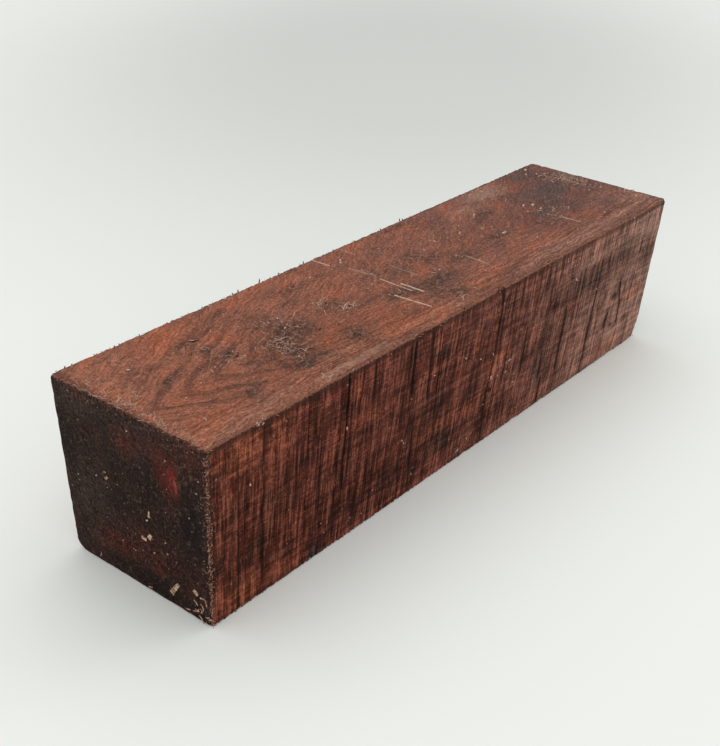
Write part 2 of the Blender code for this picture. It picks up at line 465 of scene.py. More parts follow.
# Broad tones of the top, as ovals: darker, dusty pale, and crumbled
TOP_SHADES = (
    (72, 27, 17, 13, 0.6), (86, 18, 36, 11, 0.65), (54, 20, 12, 9, 0.4), (114, 15, 12, 7, 0.6),
    (92, 36, 30, 10, 0.35), (240, 33, 34, 9, 0.7), (275, 33, 24, 9, 0.5), (280, 62, 24, 9, 0.6),
    (150, 42, 24, 8, 0.35), (195, 36, 26, 8, 0.45), (18, 24, 26, 8, 0.3), (18, 40, 20, 6, 0.3),
)

TOP_DUSTS = (
    (249, 66, 17, 7, 1), (222, 60, 16, 5, 0.6), (238, 5, 80, 6, 0.55), (292, 10, 16, 10, 0.6),
    (36, 7, 24, 3, 0.45), (20, 3, 22, 3, 0.5), (285, 25, 14, 6, 0.35),
)

TOP_CRUMBLED = (
    (3, 48, 7, 15, 1), (1, 20, 3, 26, 0.8), (1, 64, 4, 10, 0.6), (67, 29, 7, 10, 0.9),
    (20, 62, 8, 5, 0.5), (45, 50, 6, 8, 0.5), (50, 36, 5, 5, 0.6), (80, 44, 12, 8, 0.6),
    (103, 42, 6, 4, 0.7), (107, 34, 7, 4, 0.8), (136, 45, 3, 9, 0.5), (140, 8, 9, 6, 0.5),
    (160, 42, 6, 4, 0.5), (297, 46, 6, 12, 1), (301, 14, 4, 14, 0.7), (247, 26, 5, 9, 0.5),
    (60, 2, 6, 3, 0.8),
)

TOP_MARKS = (TOP_STAINS, TOP_WARMS, TOP_GREYS)
TOP_TONES = (TOP_SHADES, TOP_DUSTS, TOP_CRUMBLED)

# Pale scratches across the top: points, half width, strength
TOP_SCRATCHES = (
    (((130.6, 73), (131.4, 64)), 0.3, 0.8), (((135.2, 57), (135.6, 51), (137, 44)), 0.32, 0.4),
    (((136, 40), (136, 24)), 0.3, 0.75), (((138.4, 31), (138.8, 20)), 0.42, 0.95),
    (((128, 26), (129.6, 9.5)), 0.38, 0.95), (((147.6, 73), (147.6, 64)), 0.25, 0.35),
    (((149.4, 46), (149.6, 31)), 0.25, 0.35), (((180, 28), (179.8, 17)), 0.4, 0.4),
    (((249, 23), (250, 13)), 0.6, 0.4),
)

# Ovals on the sawn side
SIDE_DARKS = (
    (8, 63, 3, 3, 0.6), (83, 60, 4, 5, 0.6), (45, 48, 11, 5, 0.65), (34, 45, 9, 5, 0.5),
    (28, 42, 4, 4, 0.8), (7, 42, 5, 4, 0.55), (6, 25, 6, 5, 0.8), (20, 21, 14, 6, 0.5),
    (37, 34, 8, 8, 0.4), (69, 30, 6, 7, 0.6), (92, 32, 14, 6, 0.4), (76, 13, 12, 8, 0.5),
    (96, 15, 18, 8, 0.5), (127, 60, 4.6, 4, 0.9), (139, 71, 8, 4, 0.5), (125, 34, 6, 6, 0.75),
    (111, 40, 8, 7, 0.5), (130, 16, 14, 6.5, 0.75), (149, 32, 5, 5, 0.8), (155, 60, 7, 4, 0.5),
    (180, 66, 5, 10, 0.55), (196, 33, 14, 5, 0.6), (175, 15, 8, 6, 0.6), (248, 50, 6, 6, 0.5),
    (265, 22, 4, 4, 0.6), (60, 43, 20, 3, 0.35), (104, 70, 10, 5, 0.4),
)

SIDE_BLACKS = (
    (200, 64, 4, 5, 0.75), (204, 60, 4, 5, 0.65), (205, 22, 5, 8, 0.95), (212, 20, 3, 6, 0.5),
    (211, 52, 10, 6, 0.45), (238, 53, 26, 7, 0.7), (268, 56, 22, 6, 0.62), (299, 51, 6, 12, 0.6),
    (208, 40, 6, 16, 0.35), (127, 59.5, 3.6, 3.4, 0.6), (134, 16, 12, 5, 0.5), (52, 3, 4, 5, 0.9),
    (1, 40, 1.6, 40, 0.6),
)

SIDE_WARMS = (
    (14, 66, 14, 8, 0.75), (33, 66, 5, 9, 0.6), (20, 7, 20, 5.5, 0.8), (40, 5, 8, 6, 0.7),
    (72, 66, 4, 6, 0.6), (82, 50, 15, 6, 0.45), (60, 50, 6, 9, 0.4), (38, 28, 5, 4, 0.55),
    (86, 23, 20, 3, 0.55), (122, 66, 5, 5, 0.6), (118, 54, 9, 3, 0.6), (118, 24, 10, 2.4, 0.7),
    (146, 24, 5, 3, 0.9), (153, 22, 5, 6, 0.7), (100, 3, 50, 2.6, 0.4), (163, 38, 4, 24, 0.7),
    (172, 41, 9, 2.6, 0.9), (160, 30, 6, 12, 0.4), (188, 66, 5, 6, 0.5), (200, 6, 30, 5, 0.5),
    (238, 22, 16, 8, 0.45), (265, 28, 13, 6, 0.3), (291, 30, 14, 4, 0.8), (275, 6, 28, 5, 0.6),
    (235, 73, 26, 2, 0.5),
)

# Broad tones of the sawn side, as ovals: darker, pinker, and wax-spattered
SIDE_SHADES = (
    (88, 17, 50, 11, 0.8), (60, 24, 30, 14, 0.35), (24, 24, 26, 9, 0.6), (113, 34, 12, 14, 0.75),
    (130, 34, 12, 8, 0.5), (132, 17, 18, 8, 0.5), (172, 14, 12, 7, 0.5), (194, 32, 12, 10, 0.45),
    (211, 51, 10, 7, 0.65), (231, 41, 12, 6, 0.5), (250, 54, 26, 8, 0.45), (290, 48, 18, 10, 0.35),
    (210, 20, 8, 12, 0.45), (191, 55, 12, 10, 0.3), (52, 62, 3.4, 18, 0.75), (53, 10, 5, 14, 0.8),
    (68, 60, 2.8, 20, 0.85), (67, 32, 4, 9, 0.6), (26, 32, 2.2, 22, 0.6), (13, 34, 1.8, 34, 0.5),
    (83, 66, 2.4, 12, 0.5), (104, 62, 2, 14, 0.5), (107.4, 62, 1.8, 16, 0.7), (109.6, 24, 2.6, 24, 0.7),
    (117.6, 58, 2, 18, 0.6), (124, 46, 1.8, 22, 0.5), (140, 64, 4, 12, 0.35), (174, 62, 3, 14, 0.5),
    (206, 64, 2, 14, 0.5), (222, 30, 2.6, 24, 0.6), (249, 30, 2.4, 34, 0.45), (232, 60, 2, 16, 0.4),
    (30, 75, 34, 2.4, 0.6), (38, 40, 60, 2, 0.35), (60, 55, 60, 1.6, 0.3), (130, 45, 50, 2.4, 0.4),
)

SIDE_PINKS = (
    (236, 64, 20, 10, 0.6), (290, 64, 22, 12, 0.6), (280, 40, 30, 8, 0.5), (232, 24, 16, 12, 0.4),
    (260, 20, 22, 10, 0.4), (185, 40, 14, 20, 0.3),
)

SIDE_SPATTERS = (
    (25, 74.5, 4, 2.4, 1), (37, 75, 3, 1.8, 0.7), (69, 75, 5, 1.8, 0.7), (1, 40, 2.4, 40, 0.9),
    (1, 12, 3, 10, 0.8), (105, 26, 2, 12, 0.5), (163, 32, 2.6, 18, 0.7), (176, 33, 6, 6, 0.6),
    (183, 62, 3, 10, 0.6), (215, 68, 4, 7, 0.7), (145, 5, 4, 4, 0.7), (232, 60, 2, 12, 0.6),
    (112, 10, 3, 4, 0.6), (120, 1, 80, 1.4, 0.5),
)

SIDE_STAINS = (SIDE_DARKS, SIDE_WARMS, SIDE_BLACKS)
SIDE_TONES = (SIDE_SHADES, SIDE_PINKS, SIDE_SPATTERS)

# Lines on the sawn side: points, half width, strength
SIDE_LINES = (
    (((51.6, 72), (51.4, 56)), 0.8, 0.6), (((68.6, 74), (68.2, 55), (66.6, 38), (66, 27)), 0.8, 0.8),
    (((26, 73), (25.6, 58)), 0.8, 0.6), (((14, 66), (13.6, 30), (12.6, 2)), 0.7, 0.75),
    (((25.2, 42), (24.6, 6)), 0.9, 0.7), (((42, 60), (42, 28)), 0.7, 0.6),
    (((54.4, 42), (54, 20)), 0.8, 0.7), (((63, 26), (62, 4)), 0.8, 0.8),
    (((76, 36), (75.4, 6)), 0.7, 0.7), (((83, 74), (83, 56)), 0.8, 0.8),
    (((104, 72), (103.6, 56)), 0.8, 0.9), (((107, 74), (106.6, 50)), 0.8, 1),
    (((109.6, 40), (109, 2)), 0.8, 0.8), (((117.6, 74), (117.2, 44)), 0.8, 0.9),
    (((124, 66), (123.4, 26)), 0.6, 0.8),
    (((165, 72), (165, 56), (164.6, 44), (162, 26), (161.4, 2)), 0.9, 0.9),
    (((167.6, 70), (167.6, 36)), 0.6, 0.9), (((164, 76), (164, 71)), 1, 1.3),
    (((174, 72), (174, 50)), 0.7, 0.7), (((222, 46), (221.6, 30), (221, 14)), 1.3, 0.9),
    (((208.5, 14), (207.5, 2)), 1.2, 0.8), (((189, 48), (188.4, 24)), 0.8, 0.8),
    (((229.6, 26), (227, 2)), 1, 0.6), (((250, 60), (249, 30), (247, 2)), 1.1, 0.7),
    (((273.4, 43), (275, 36), (277.4, 29), (278.6, 17)), 0.7, 1.2),
    (((260, 37.4), (264, 36), (271.4, 35)), 0.9, 0.9), (((266.6, 26), (265, 19.6)), 0.9, 1.1),
    (((269.6, 16.6), (274, 18.4)), 0.9, 0.8), (((167.4, 28), (163, 25), (159.6, 18)), 0.9, 0.9),
    (((288, 42), (287.4, 33)), 0.8, 0.7), (((288.6, 58), (288.4, 52)), 0.9, 0.8),
)

SIDE_LIGHT_LINES = (
    (((102, 40.8), (150, 41.4), (180, 43.2), (206, 43.6), (240, 43.4)), 0.7, 0.65),
    (((20, 57.6), (42, 59)), 0.6, 0.6), (((231.6, 70), (232, 50), (231, 30), (227.6, 2)), 1, 0.9),
    (((274, 64), (273, 49)), 0.9, 0.8), (((182.4, 70), (181.8, 60)), 0.6, 0.8),
    (((254, 26), (253.4, 19)), 0.7, 0.7), (((20, 39), (58, 38.6)), 0.6, 0.5),
    (((244.5, 72), (243.6, 50)), 1, 0.6),
)

# Ovals on the waxed ends
END_DARKS = (
    (8, 40, 9, 14, 0.9), (38, 50, 16, 12, 0.6), (68, 50, 6, 14, 0.7), (30, 5, 22, 4, 0.9),
    (42, 34, 14, 8, 0.6),
)

END_REDS = (
    (48, 14, 14, 6, 0.8), (39, 61, 6, 7, 0.8), (26, 15, 4, 6, 0.9), (15, 45, 10, 5, 0.45),
    (34, 25, 6, 8, 0.5), (60, 72, 12, 3, 0.6),
)

END_GREYS = (
    (62, 70, 14, 6, 0.8), (60, 34, 14, 20, 0.6), (40, 56, 18, 8, 0.4), (30, 71, 18, 4, 0.5),
)

# Broad tones of the waxed ends: darker, ruddier, and spattered with pale bits
END_SHADES = (
    (20, 24, 16, 16, 0.8), (8, 34, 8, 14, 0.6), (40, 12, 16, 10, 0.4), (70, 44, 5, 14, 0.5),
    (38, 36, 10, 8, 0.3),
)

END_RUDDIES = (
    (20, 66, 20, 7, 0.7), (6, 70, 8, 8, 0.8), (30, 20, 24, 12, 0.6), (10, 20, 10, 16, 0.5),
    (40, 62, 8, 6, 0.5),
)

END_SPATTERS = (
    (1, 40, 3.4, 44, 1), (8, 64, 9, 12, 0.7), (24, 73, 26, 2.4, 0.9), (60, 73, 16, 2, 0.7),
    (72, 30, 2.4, 30, 0.5), (4, 5, 7, 5, 0.7), (22, 60, 20, 12, 0.3),
)

END_MARKS = (END_DARKS, END_REDS, END_GREYS)
END_TONES = (END_SHADES, END_RUDDIES, END_SPATTERS)


# Materials


class Finish:
    """A material as it is built up: the place on the block, patterns, then coats of colour."""

    def __init__(self, name, roughness, gloss):
        self.material = bpy.data.materials.new(name)
        self.material.use_nodes = True
        self.tree = self.material.node_tree
        self.shader = self.tree.nodes["Principled BSDF"]
        self.shader.inputs["Roughness"].default_value = roughness
        self.shader.inputs["Specular IOR Level"].default_value = gloss
        self.colour = None

    def feed(self, socket, value):
        if isinstance(value, bpy.types.NodeSocket):
            self.tree.links.new(value, socket)
        elif hasattr(socket, "default_value"):
            socket.default_value = value

    def node(self, kind, inputs=(), **settings):
        node = self.tree.nodes.new(kind)
        for setting, value in settings.items():
            setattr(node, setting, value)
        for socket, value in inputs:
            self.feed(node.inputs[socket], value)
        return node

    def math(self, operation, first, second=0.0, third=0.0):
        inputs = ((0, first), (1, second), (2, third))
        return self.node("ShaderNodeMath", inputs, operation=operation).outputs[0]

    def times(self, first, second):
        return self.math("MULTIPLY", first, second)

    def times_plus(self, first, second, third):
        return self.math("MULTIPLY_ADD", first, second, third)

    def less(self, first, second):
        return self.math("SUBTRACT", first, second)

    def larger(self, first, second):
        return self.math("MAXIMUM", first, second)

    def vector(self, operation, first, second=(0.0, 0.0, 0.0)):
        node = self.node("ShaderNodeVectorMath", ((0, first), (1, second)), operation=operation)
        gives_number = operation in ("LENGTH", "DOT_PRODUCT", "DISTANCE")
        return node.outputs["Value" if gives_number else 0]

    def stretched(self, vector, factor):
        inputs = ((0, vector), ("Scale", factor))
        return self.node("ShaderNodeVectorMath", inputs, operation="SCALE").outputs[0]

    def place(self):
        """The place on the block in its own millimetres."""
        coordinates = self.node("ShaderNodeTexCoord")
        inputs = (
            ("Vector", coordinates.outputs["Object"]),
            ("Location", tuple(-CORNER)),
            ("Scale", (1.0 / MM, 1.0 / MM, 1.0 / MM)),
        )
        return self.node("ShaderNodeMapping", inputs).outputs[0]

    def marks(self, name):
        """The three covers that mark_faces stored under this name."""
        return self.parts(self.node("ShaderNodeAttribute", attribute_name=name).outputs["Vector"])

    def parts(self, where):
        return self.node("ShaderNodeSeparateXYZ", (("Vector", where),)).outputs

    def joined(self, x, y, z=0.0):
        return self.node("ShaderNodeCombineXYZ", ((0, x), (1, y), (2, z))).outputs[0]

    def noise(self, where, sizes, detail=2.0, rough=0.5, turn=0.0, shift=0.0):
        """Noise whose grains have these sizes in millimetres, turned about z."""
        inputs = (
            ("Vector", where),
            ("Location", (shift, shift, 0.0)),
            ("Rotation", (0.0, 0.0, math.radians(turn))),
            ("Scale", sizes),
        )
        mapped = self.node("ShaderNodeMapping", inputs, vector_type="TEXTURE")
        inputs = (
            ("Vector", mapped.outputs[0]),
            ("Scale", 1.0),
            ("Detail", detail),
            ("Roughness", rough),
        )
        return self.node("ShaderNodeTexNoise", inputs)

    def grain(self, where, sizes, **settings):
        return self.noise(where, sizes, **settings).outputs["Fac"]

    def warped(self, where, size, reach):
        """The place pushed about by slow noise, so that what is drawn there wavers."""
        drift = self.noise(where, (size, size, size), detail=2.0).outputs["Color"]
        drift = self.vector("SUBTRACT", drift, (0.5, 0.5, 0.5))
        return self.vector("ADD", where, self.stretched(drift, 2.0 * reach))

    def fade(self, value, low, high, start=0.0, end=1.0):
        """A smooth step from start at low to end at high."""
        inputs = (
            ("Value", value),
            ("From Min", low),
            ("From Max", high),
            ("To Min", start),
            ("To Max", end),
        )
        return self.node("ShaderNodeMapRange", inputs, interpolation_type="SMOOTHSTEP").outputs[0]

    def scaled(self, value, low, high, start, end):
        """A straight, clamped step from start at low to end at high."""
        inputs = (
            ("Value", value),
            ("From Min", low),
            ("From Max", high),
            ("To Min", start),
            ("To Max", end),
        )
        return self.node("ShaderNodeMapRange", inputs).outputs[0]

    def torn(self, cover, texture, play, low, high, most=1.0):
        """A soft cover torn to shreds by a texture, up to this much."""
        lifted = self.times_plus(texture, play, -play / 2)
        return self.fade(self.math("ADD", cover, lifted), low, high, 0.0, most)

    def threads(self, where, sizes, width, turn=0.0, shift=0.0):
        """Thin wavering lines, as loose fibres lie: 1 on a line and 0 away from it."""
        off = self.less(self.grain(where, sizes, detail=1.0, turn=turn, shift=shift), 0.5)
        return self.fade(self.math("ABSOLUTE", off), width, width * 0.25)

    def specks(self, where, size, share, shift=0.0):
        """Scattered specks of about this size, in this share of the places where one could lie."""
        inputs = (("Vector", self.vector("ADD", where, (shift, shift, 0.0))), ("Scale", 1.0 / size))
        cells = self.node("ShaderNodeTexVoronoi", inputs)
        picked = self.parts(cells.outputs["Color"])[0]
        near = self.fade(cells.outputs["Distance"], 0.5, 0.3)
        return self.times(near, self.math("LESS_THAN", picked, share))

    def between(self, first, second, share):
        """A number this share of the way from the first to the second."""
        inputs = ((0, share), (2, first), (3, second))
        return self.node("ShaderNodeMix", inputs, data_type="FLOAT").outputs[0]

    def woven(self, *strands):
        """The factor by which patterns, each given with its strength, lighten or darken a colour."""
        total = 0.0
        for pattern, strength in strands:
            total = self.math("ADD", total, self.times(self.less(pattern, 0.5), strength))
        return self.math("POWER", 2.0, self.math("MINIMUM", self.larger(total, -1.9), 1.35))

    def ramp(self, value, stops):
        node = self.node("ShaderNodeValToRGB", (("Fac", value),))
        elements = node.color_ramp.elements
        while len(elements) < len(stops):
            elements.new(1.0)
        for element, (position, colour) in zip(elements, stops):
            element.position = position
            element.color = rgb(colour)
        return node.outputs["Color"]

    def coat(self, paint, cover):
        """Lays a paint over the colour, as far as this cover reaches."""
        inputs = ((0, cover), (6, self.colour), (7, rgb(paint)))
        self.colour = self.node("ShaderNodeMix", inputs, data_type="RGBA").outputs[2]

    def tone(self, factor):
        """Lightens or darkens the colour by this factor."""
        self.colour = self.stretched(self.colour, factor)

    def line(self, where, start, end, half_width, edge):
        """1 on the straight line from start to end and 0 away from it."""
        start = Vector(start).to_3d()
        run = Vector(end).to_3d() - start
        from_start = self.vector("SUBTRACT", where, tuple(start))
        along = self.vector("DOT_PRODUCT", from_start, tuple(run / run.length_squared))
        along = self.node("ShaderNodeClamp", (("Value", along),)).outputs[0]
        distance = self.vector("DISTANCE", from_start, self.stretched(tuple(run), along))
        return self.fade(distance, half_width + edge, max(half_width - edge, 0.0))

    def lines(self, where, runs, softness=0.8):
        """The covers of several drawn lines, given as (points, half width, strength), taken together."""
        cover = None
        for points, half_width, strength in runs:
            for start, end in zip(points, points[1:]):
                line = self.line(where, start, end, half_width, half_width * softness)
                line = self.times(line, strength)
                cover = line if cover is None else self.larger(cover, line)
        return cover

    def patch(self, where, middle, reach, edge=0.5):
        """1 inside an oval and 0 outside it."""
        off = self.vector("SUBTRACT", where, (*middle, 0.0))
        off = self.vector("MULTIPLY", off, (1.0 / reach[0], 1.0 / reach[1], 0.0))
        return self.fade(self.vector("LENGTH", off), 1.0 + edge, 1.0 - edge)

    def finish(self, height):
        """Feeds the shader with the colour and with the relief, in millimetres."""
        self.feed(self.shader.inputs["Base Color"], self.colour)
        inputs = (("Height", height), ("Distance", MM), ("Strength", 1.0))
        bump = self.node("ShaderNodeBump", inputs)
        self.feed(self.shader.inputs["Normal"], bump.outputs[0])
        return self.material


def cathedral(wood, x, y):
    """The nested arches of the grain, pointing to the near end, as a wave between -1 and 1."""
    off = wood.less(y, 29.5)
    off = wood.math("SQRT", wood.times_plus(off, off, 3.0))
    at = wood.times_plus(off, -1.85, x)
    return wood.math("COSINE", wood.times_plus(at, 2.0 * math.pi / 14.6, -0.75)), at


def top_finish():
    wood = Finish("top_face_wood", 0.85, 0.03)
    flat = wood.vector("MULTIPLY", wood.place(), (1.0, 1.0, 0.0))
    stain, warm, grey = wood.marks("stains")
    band, _, _ = wood.marks("lines")
    shade, dust, crumbled_zone = wood.marks("tones")
    waved = wood.warped(wood.warped(flat, 13.0, 3.2), 3.0, 0.9)
    x, y, _ = wood.parts(waved)
    true_x, true_y, _ = wood.parts(flat)
    shreds = wood.grain(flat, (4.6, 2.6, 3.0), detail=7.0, rough=0.72, turn=22.0)
    clouds = wood.grain(waved, (26.0, 12.0, 20.0), detail=5.0, rough=0.62, turn=24.0)
    along = wood.scaled(true_x, 0.0, LENGTH, 0.0, 1.0)
    wood.colour = wood.ramp(along, (
        (0.00, (152, 97, 76)),
        (0.20, (144, 91, 71)),
        (0.45, (135, 87, 70)),
        (0.65, (131, 86, 72)),
        (0.85, (119, 81, 70)),
        (1.00, (116, 82, 73)),
    ))
    wood.coat((98, 68, 60), wood.fade(clouds, 0.47, 0.72, 0.0, 0.75))
    wood.coat((166, 92, 64), wood.fade(clouds, 0.5, 0.28, 0.0, 0.65))
    wood.coat((166, 96, 68), wood.torn(warm, shreds, 0.7, 0.25, 1.0, 0.6))
    wood.coat((158, 122, 106), wood.torn(dust, shreds, 0.5, 0.1, 1.0, 0.7))
    wood.tone(wood.scaled(shade, 0.0, 1.0, 1.0, 0.68))
    wave, at = cathedral(wood, x, y)
    ring = wood.fade(wave, -0.4, 0.8)
    ring = wood.times(ring, wood.fade(x, 80.0, 52.0))
    ring = wood.times(ring, wood.fade(at, -6.0, 2.0, 0.4, 1.0))
    ring = wood.times(ring, wood.fade(true_y, 9.0, 16.0))
    ring = wood.larger(ring, wood.torn(band, shreds, 0.6, 0.25, 0.95))
    ring = wood.times(ring, wood.scaled(shreds, 0.36, 0.64, 0.35, 0.95))
    ring = wood.times(ring, wood.fade(clouds, 0.36, 0.6, 0.7, 1.0))
    wood.coat((86, 58, 49), ring)
    straight = wood.grain(waved, (50.0, 1.5, 10.0), detail=4.0, rough=0.7)
    near_edge = wood.fade(true_y, 20.0, 9.0)
    wood.coat((98, 58, 44), wood.times(wood.fade(straight, 0.46, 0.66, 0.0, 0.8), near_edge))
    wood.coat((176, 124, 96), wood.times(wood.fade(straight, 0.48, 0.34, 0.0, 0.5), near_edge))
    wood.coat((66, 51, 46), wood.torn(stain, shreds, 1.5, 0.08, 0.85, 0.92))
    wood.coat((80, 69, 66), wood.torn(grey, shreds, 1.0, 0.1, 0.95, 0.85))
    strip = wood.line(flat, (60.0, 2.2), (93.0, 2.6), 2.2, 1.2)
    wood.coat((150, 114, 98), wood.torn(strip, shreds, 1.2, 0.3, 0.9, 0.55))
    upward = wood.grain(waved, (11.0, 0.9, 4.0), detail=3.0, rough=0.66, turn=28.0)
    downward = wood.grain(waved, (11.0, 0.9, 4.0), detail=3.0, rough=0.66, turn=-27.0, shift=5.0)
    level = wood.grain(waved, (18.0, 1.0, 4.0), detail=3.0, rough=0.66, turn=-2.0, shift=11.0)
    arch = wood.times(wood.fade(true_x, 66.0, 44.0), wood.fade(true_y, 9.0, 16.0))
    streak = wood.between(level, downward, arch)
    streak = wood.between(streak, upward, wood.fade(true_y, 25.0, 36.0))
    nap = wood.grain(flat, (1.4, 0.9, 1.5), detail=5.0, rough=0.78, turn=12.0)
    wood.tone(wood.woven((streak, 2.8), (nap, 5.6), (shreds, 1.8)))
    loose = wood.larger(crumbled_zone, wood.times(stain, 0.5))
    fibre = wood.larger(
        wood.threads(flat, (3.6, 1.3, 2.0), 0.05, turn=38.0),
        wood.threads(flat, (2.6, 1.5, 2.0), 0.045, turn=-34.0, shift=9.0),
    )
    broken_up = wood.grain(flat, (2.4, 2.4, 2.0), detail=2.0, shift=23.0)
    fibre = wood.times(fibre, wood.fade(broken_up, 0.47, 0.58))
    fibre = wood.times(fibre, wood.scaled(loose, 0.0, 0.8, 0.12, 0.65))
    pits = wood.times_plus(loose, 0.07, nap)
    wood.coat((44, 29, 25), wood.fade(pits, 0.62, 0.72, 0.0, 0.75))
    wood.coat((188, 150, 130), fibre)
    pink = wood.times(wood.specks(flat, 1.2, 0.4), wood.fade(loose, 0.2, 1.0, 0.0, 0.6))
    wood.coat((194, 148, 126), pink)
    sparse = wood.specks(flat, 1.0, 0.004, shift=40.0)
    wood.coat((200, 166, 148), wood.times(sparse, 0.7))
    ends = wood.math("MINIMUM", true_x, wood.less(LENGTH, true_x))
    worn_end = wood.times_plus(shreds, -9.0, ends)
    wood.coat((92, 60, 50), wood.fade(worn_end, -3.4, -5.6, 0.0, 0.7))
    back_rim = wood.times_plus(nap, 5.0, wood.less(WIDTH + 0.6, true_y))
    wood.coat((84, 60, 52), wood.fade(back_rim, 4.2, 2.6, 0.0, 0.7))
    scratch = wood.lines(flat, TOP_SCRATCHES, 0.8)
    scratch = wood.times(scratch, wood.fade(nap, 0.36, 0.52, 0.2, 0.95))
    wood.coat((220, 190, 170), scratch)
    height = wood.times(nap, 0.6)
    height = wood.times_plus(shreds, 0.5, height)
    height = wood.times_plus(streak, 0.3, height)
    height = wood.times_plus(fibre, 0.12, height)
    return wood.finish(height)


def sawn_finish(name, back):
    wood = Finish(name, 0.8, 0.04)
    x, _, z = wood.parts(wood.place())
    along = wood.less(LENGTH, x) if back else x
    flat = wood.joined(along, z)
    below = wood.math("POWER", wood.scaled(z, 0.0, HEIGHT, 1.0, 0.0), 1.6)
    swing = wood.times(below, wood.scaled(x, 0.0, 110.0, 0.0, STROKE_CURVE))
    strokes = wood.joined(wood.math("ADD", x, swing), z, 7.0 if back else 0.0)
    dark, warm, black = wood.marks("stains")
    line, light_line, painted_groove_shade = wood.marks("lines")
    shade, pink, spatter = wood.marks("tones")
    waved = wood.warped(flat, 3.0, 0.6)
    shreds = wood.grain(flat, (2.2, 2.8, 3.0), detail=7.0, rough=0.74)
    share = wood.scaled(along, 0.0, LENGTH, 0.0, 1.0)
    wood.colour = wood.ramp(share, (
        (0.00, (92, 49, 37)),
        (0.22, (93, 50, 40)),
        (0.45, (97, 56, 46)),
        (0.62, (106, 67, 57)),
        (0.80, (126, 91, 79)),
        (1.00, (139, 107, 94)),
    ))
    blotch = wood.grain(waved, (18.0, 8.0, 10.0), detail=5.0, rough=0.65)
    calm = wood.scaled(share, 0.55, 0.9, 1.0, 0.5)
    wood.coat((62, 36, 31), wood.times(wood.fade(blotch, 0.48, 0.68, 0.0, 0.8), calm))
    wood.coat((126, 68, 52), wood.times(wood.fade(blotch, 0.46, 0.3, 0.0, 0.5), calm))
    wood.coat((156, 116, 104), wood.torn(pink, shreds, 0.5, 0.1, 1.0, 0.5))
    wood.coat((144, 80, 55), wood.torn(warm, shreds, 1.0, 0.2, 1.1, 0.75))
    wood.tone(wood.scaled(shade, 0.0, 1.0, 1.08, 0.28))
    wood.coat((46, 30, 27), wood.torn(dark, shreds, 1.4, 0.1, 0.95, 0.85))
    wood.coat((44, 39, 37), wood.torn(black, shreds, 1.2, 0.1, 0.95, 0.85))
    fine = wood.grain(strokes, (1.0, 16.0, 4.0), detail=2.0, rough=0.6)
    thin = wood.grain(strokes, (0.55, 7.0, 4.0), detail=2.0, rough=0.6, shift=90.0)
    broad = wood.grain(strokes, (2.6, 36.0, 4.0), detail=3.0, rough=0.6, shift=60.0)
    level = wood.grain(waved, (9.0, 0.8, 4.0), detail=3.0, rough=0.66)
    wide_level = wood.grain(waved, (30.0, 2.4, 4.0), detail=2.0, shift=23.0)
    speckle = wood.grain(flat, (0.8, 0.8, 1.0), detail=4.0, rough=0.75)
    zones = wood.grain(flat, (34.0, 12.0, 10.0), detail=1.0, shift=17.0)
    level_play = wood.fade(zones, 0.38, 0.62, 1.6, 3.6)
    play = wood.grain(waved, (16.0, 18.0, 10.0), detail=2.0, shift=37.0)
    red_run = wood.grain(strokes, (1.7, 9.0, 4.0), detail=2.0, shift=120.0)
    wood.coat((112, 50, 36), wood.fade(red_run, 0.5, 0.7, 0.0, 0.4))
    texture = wood.woven(
        (fine, wood.fade(play, 0.36, 0.64, 2.6, 7.4)),
        (thin, 2.6),
        (broad, wood.times(calm, 5.6)),
        (level, wood.times(calm, level_play)),
        (wide_level, 2.8),
        (speckle, 5.4),
        (shreds, wood.times(calm, 3.8)),
    )
    wood.tone(texture)
    wood.coat((150, 96, 70), wood.fade(texture, 1.1, 2.5, 0.0, 0.22))
    # Painted shade in the saw grooves: the colour darkens where the saw cut deeper
    wood.tone(wood.scaled(painted_groove_shade, 0.0, 1.6, 1.10, 0.62))
    wood.coat((27, 15, 13), wood.torn(line, shreds, 0.9, 0.12, 0.85, 0.88))
    wood.coat((168, 118, 98), wood.torn(light_line, shreds, 0.9, 0.3, 1.2, 0.5))
    ragged_z = wood.times_plus(shreds, 5.0, z)
    wood.coat((62, 38, 32), wood.fade(ragged_z, 74.6, 76.6, 0.0, 0.65))
    ragged_x = wood.times_plus(shreds, -5.0, x)
    wood.coat((60, 42, 37), wood.fade(ragged_x, 0.6, -1.2, 0.0, 0.8))
    lift = wood.times_plus(speckle, 2.4, wood.less(z, HEIGHT))
    wood.coat((150, 104, 84), wood.fade(lift, 0.35, 0.95, 0.0, 0.7))
    scattered = wood.specks(flat, 1.0, 0.004)
    heaped = wood.times(wood.specks(flat, 1.0, 0.3, shift=30.0), wood.fade(spatter, 0.2, 1.0))
    wood.coat((176, 140, 122), wood.times(wood.larger(scattered, heaped), 0.65))
    height = wood.times(fine, 0.5)
    height = wood.times_plus(level, 0.3, height)
    height = wood.times_plus(shreds, 0.4, height)
    height = wood.times_plus(speckle, 0.3, height)
    return wood.finish(height)


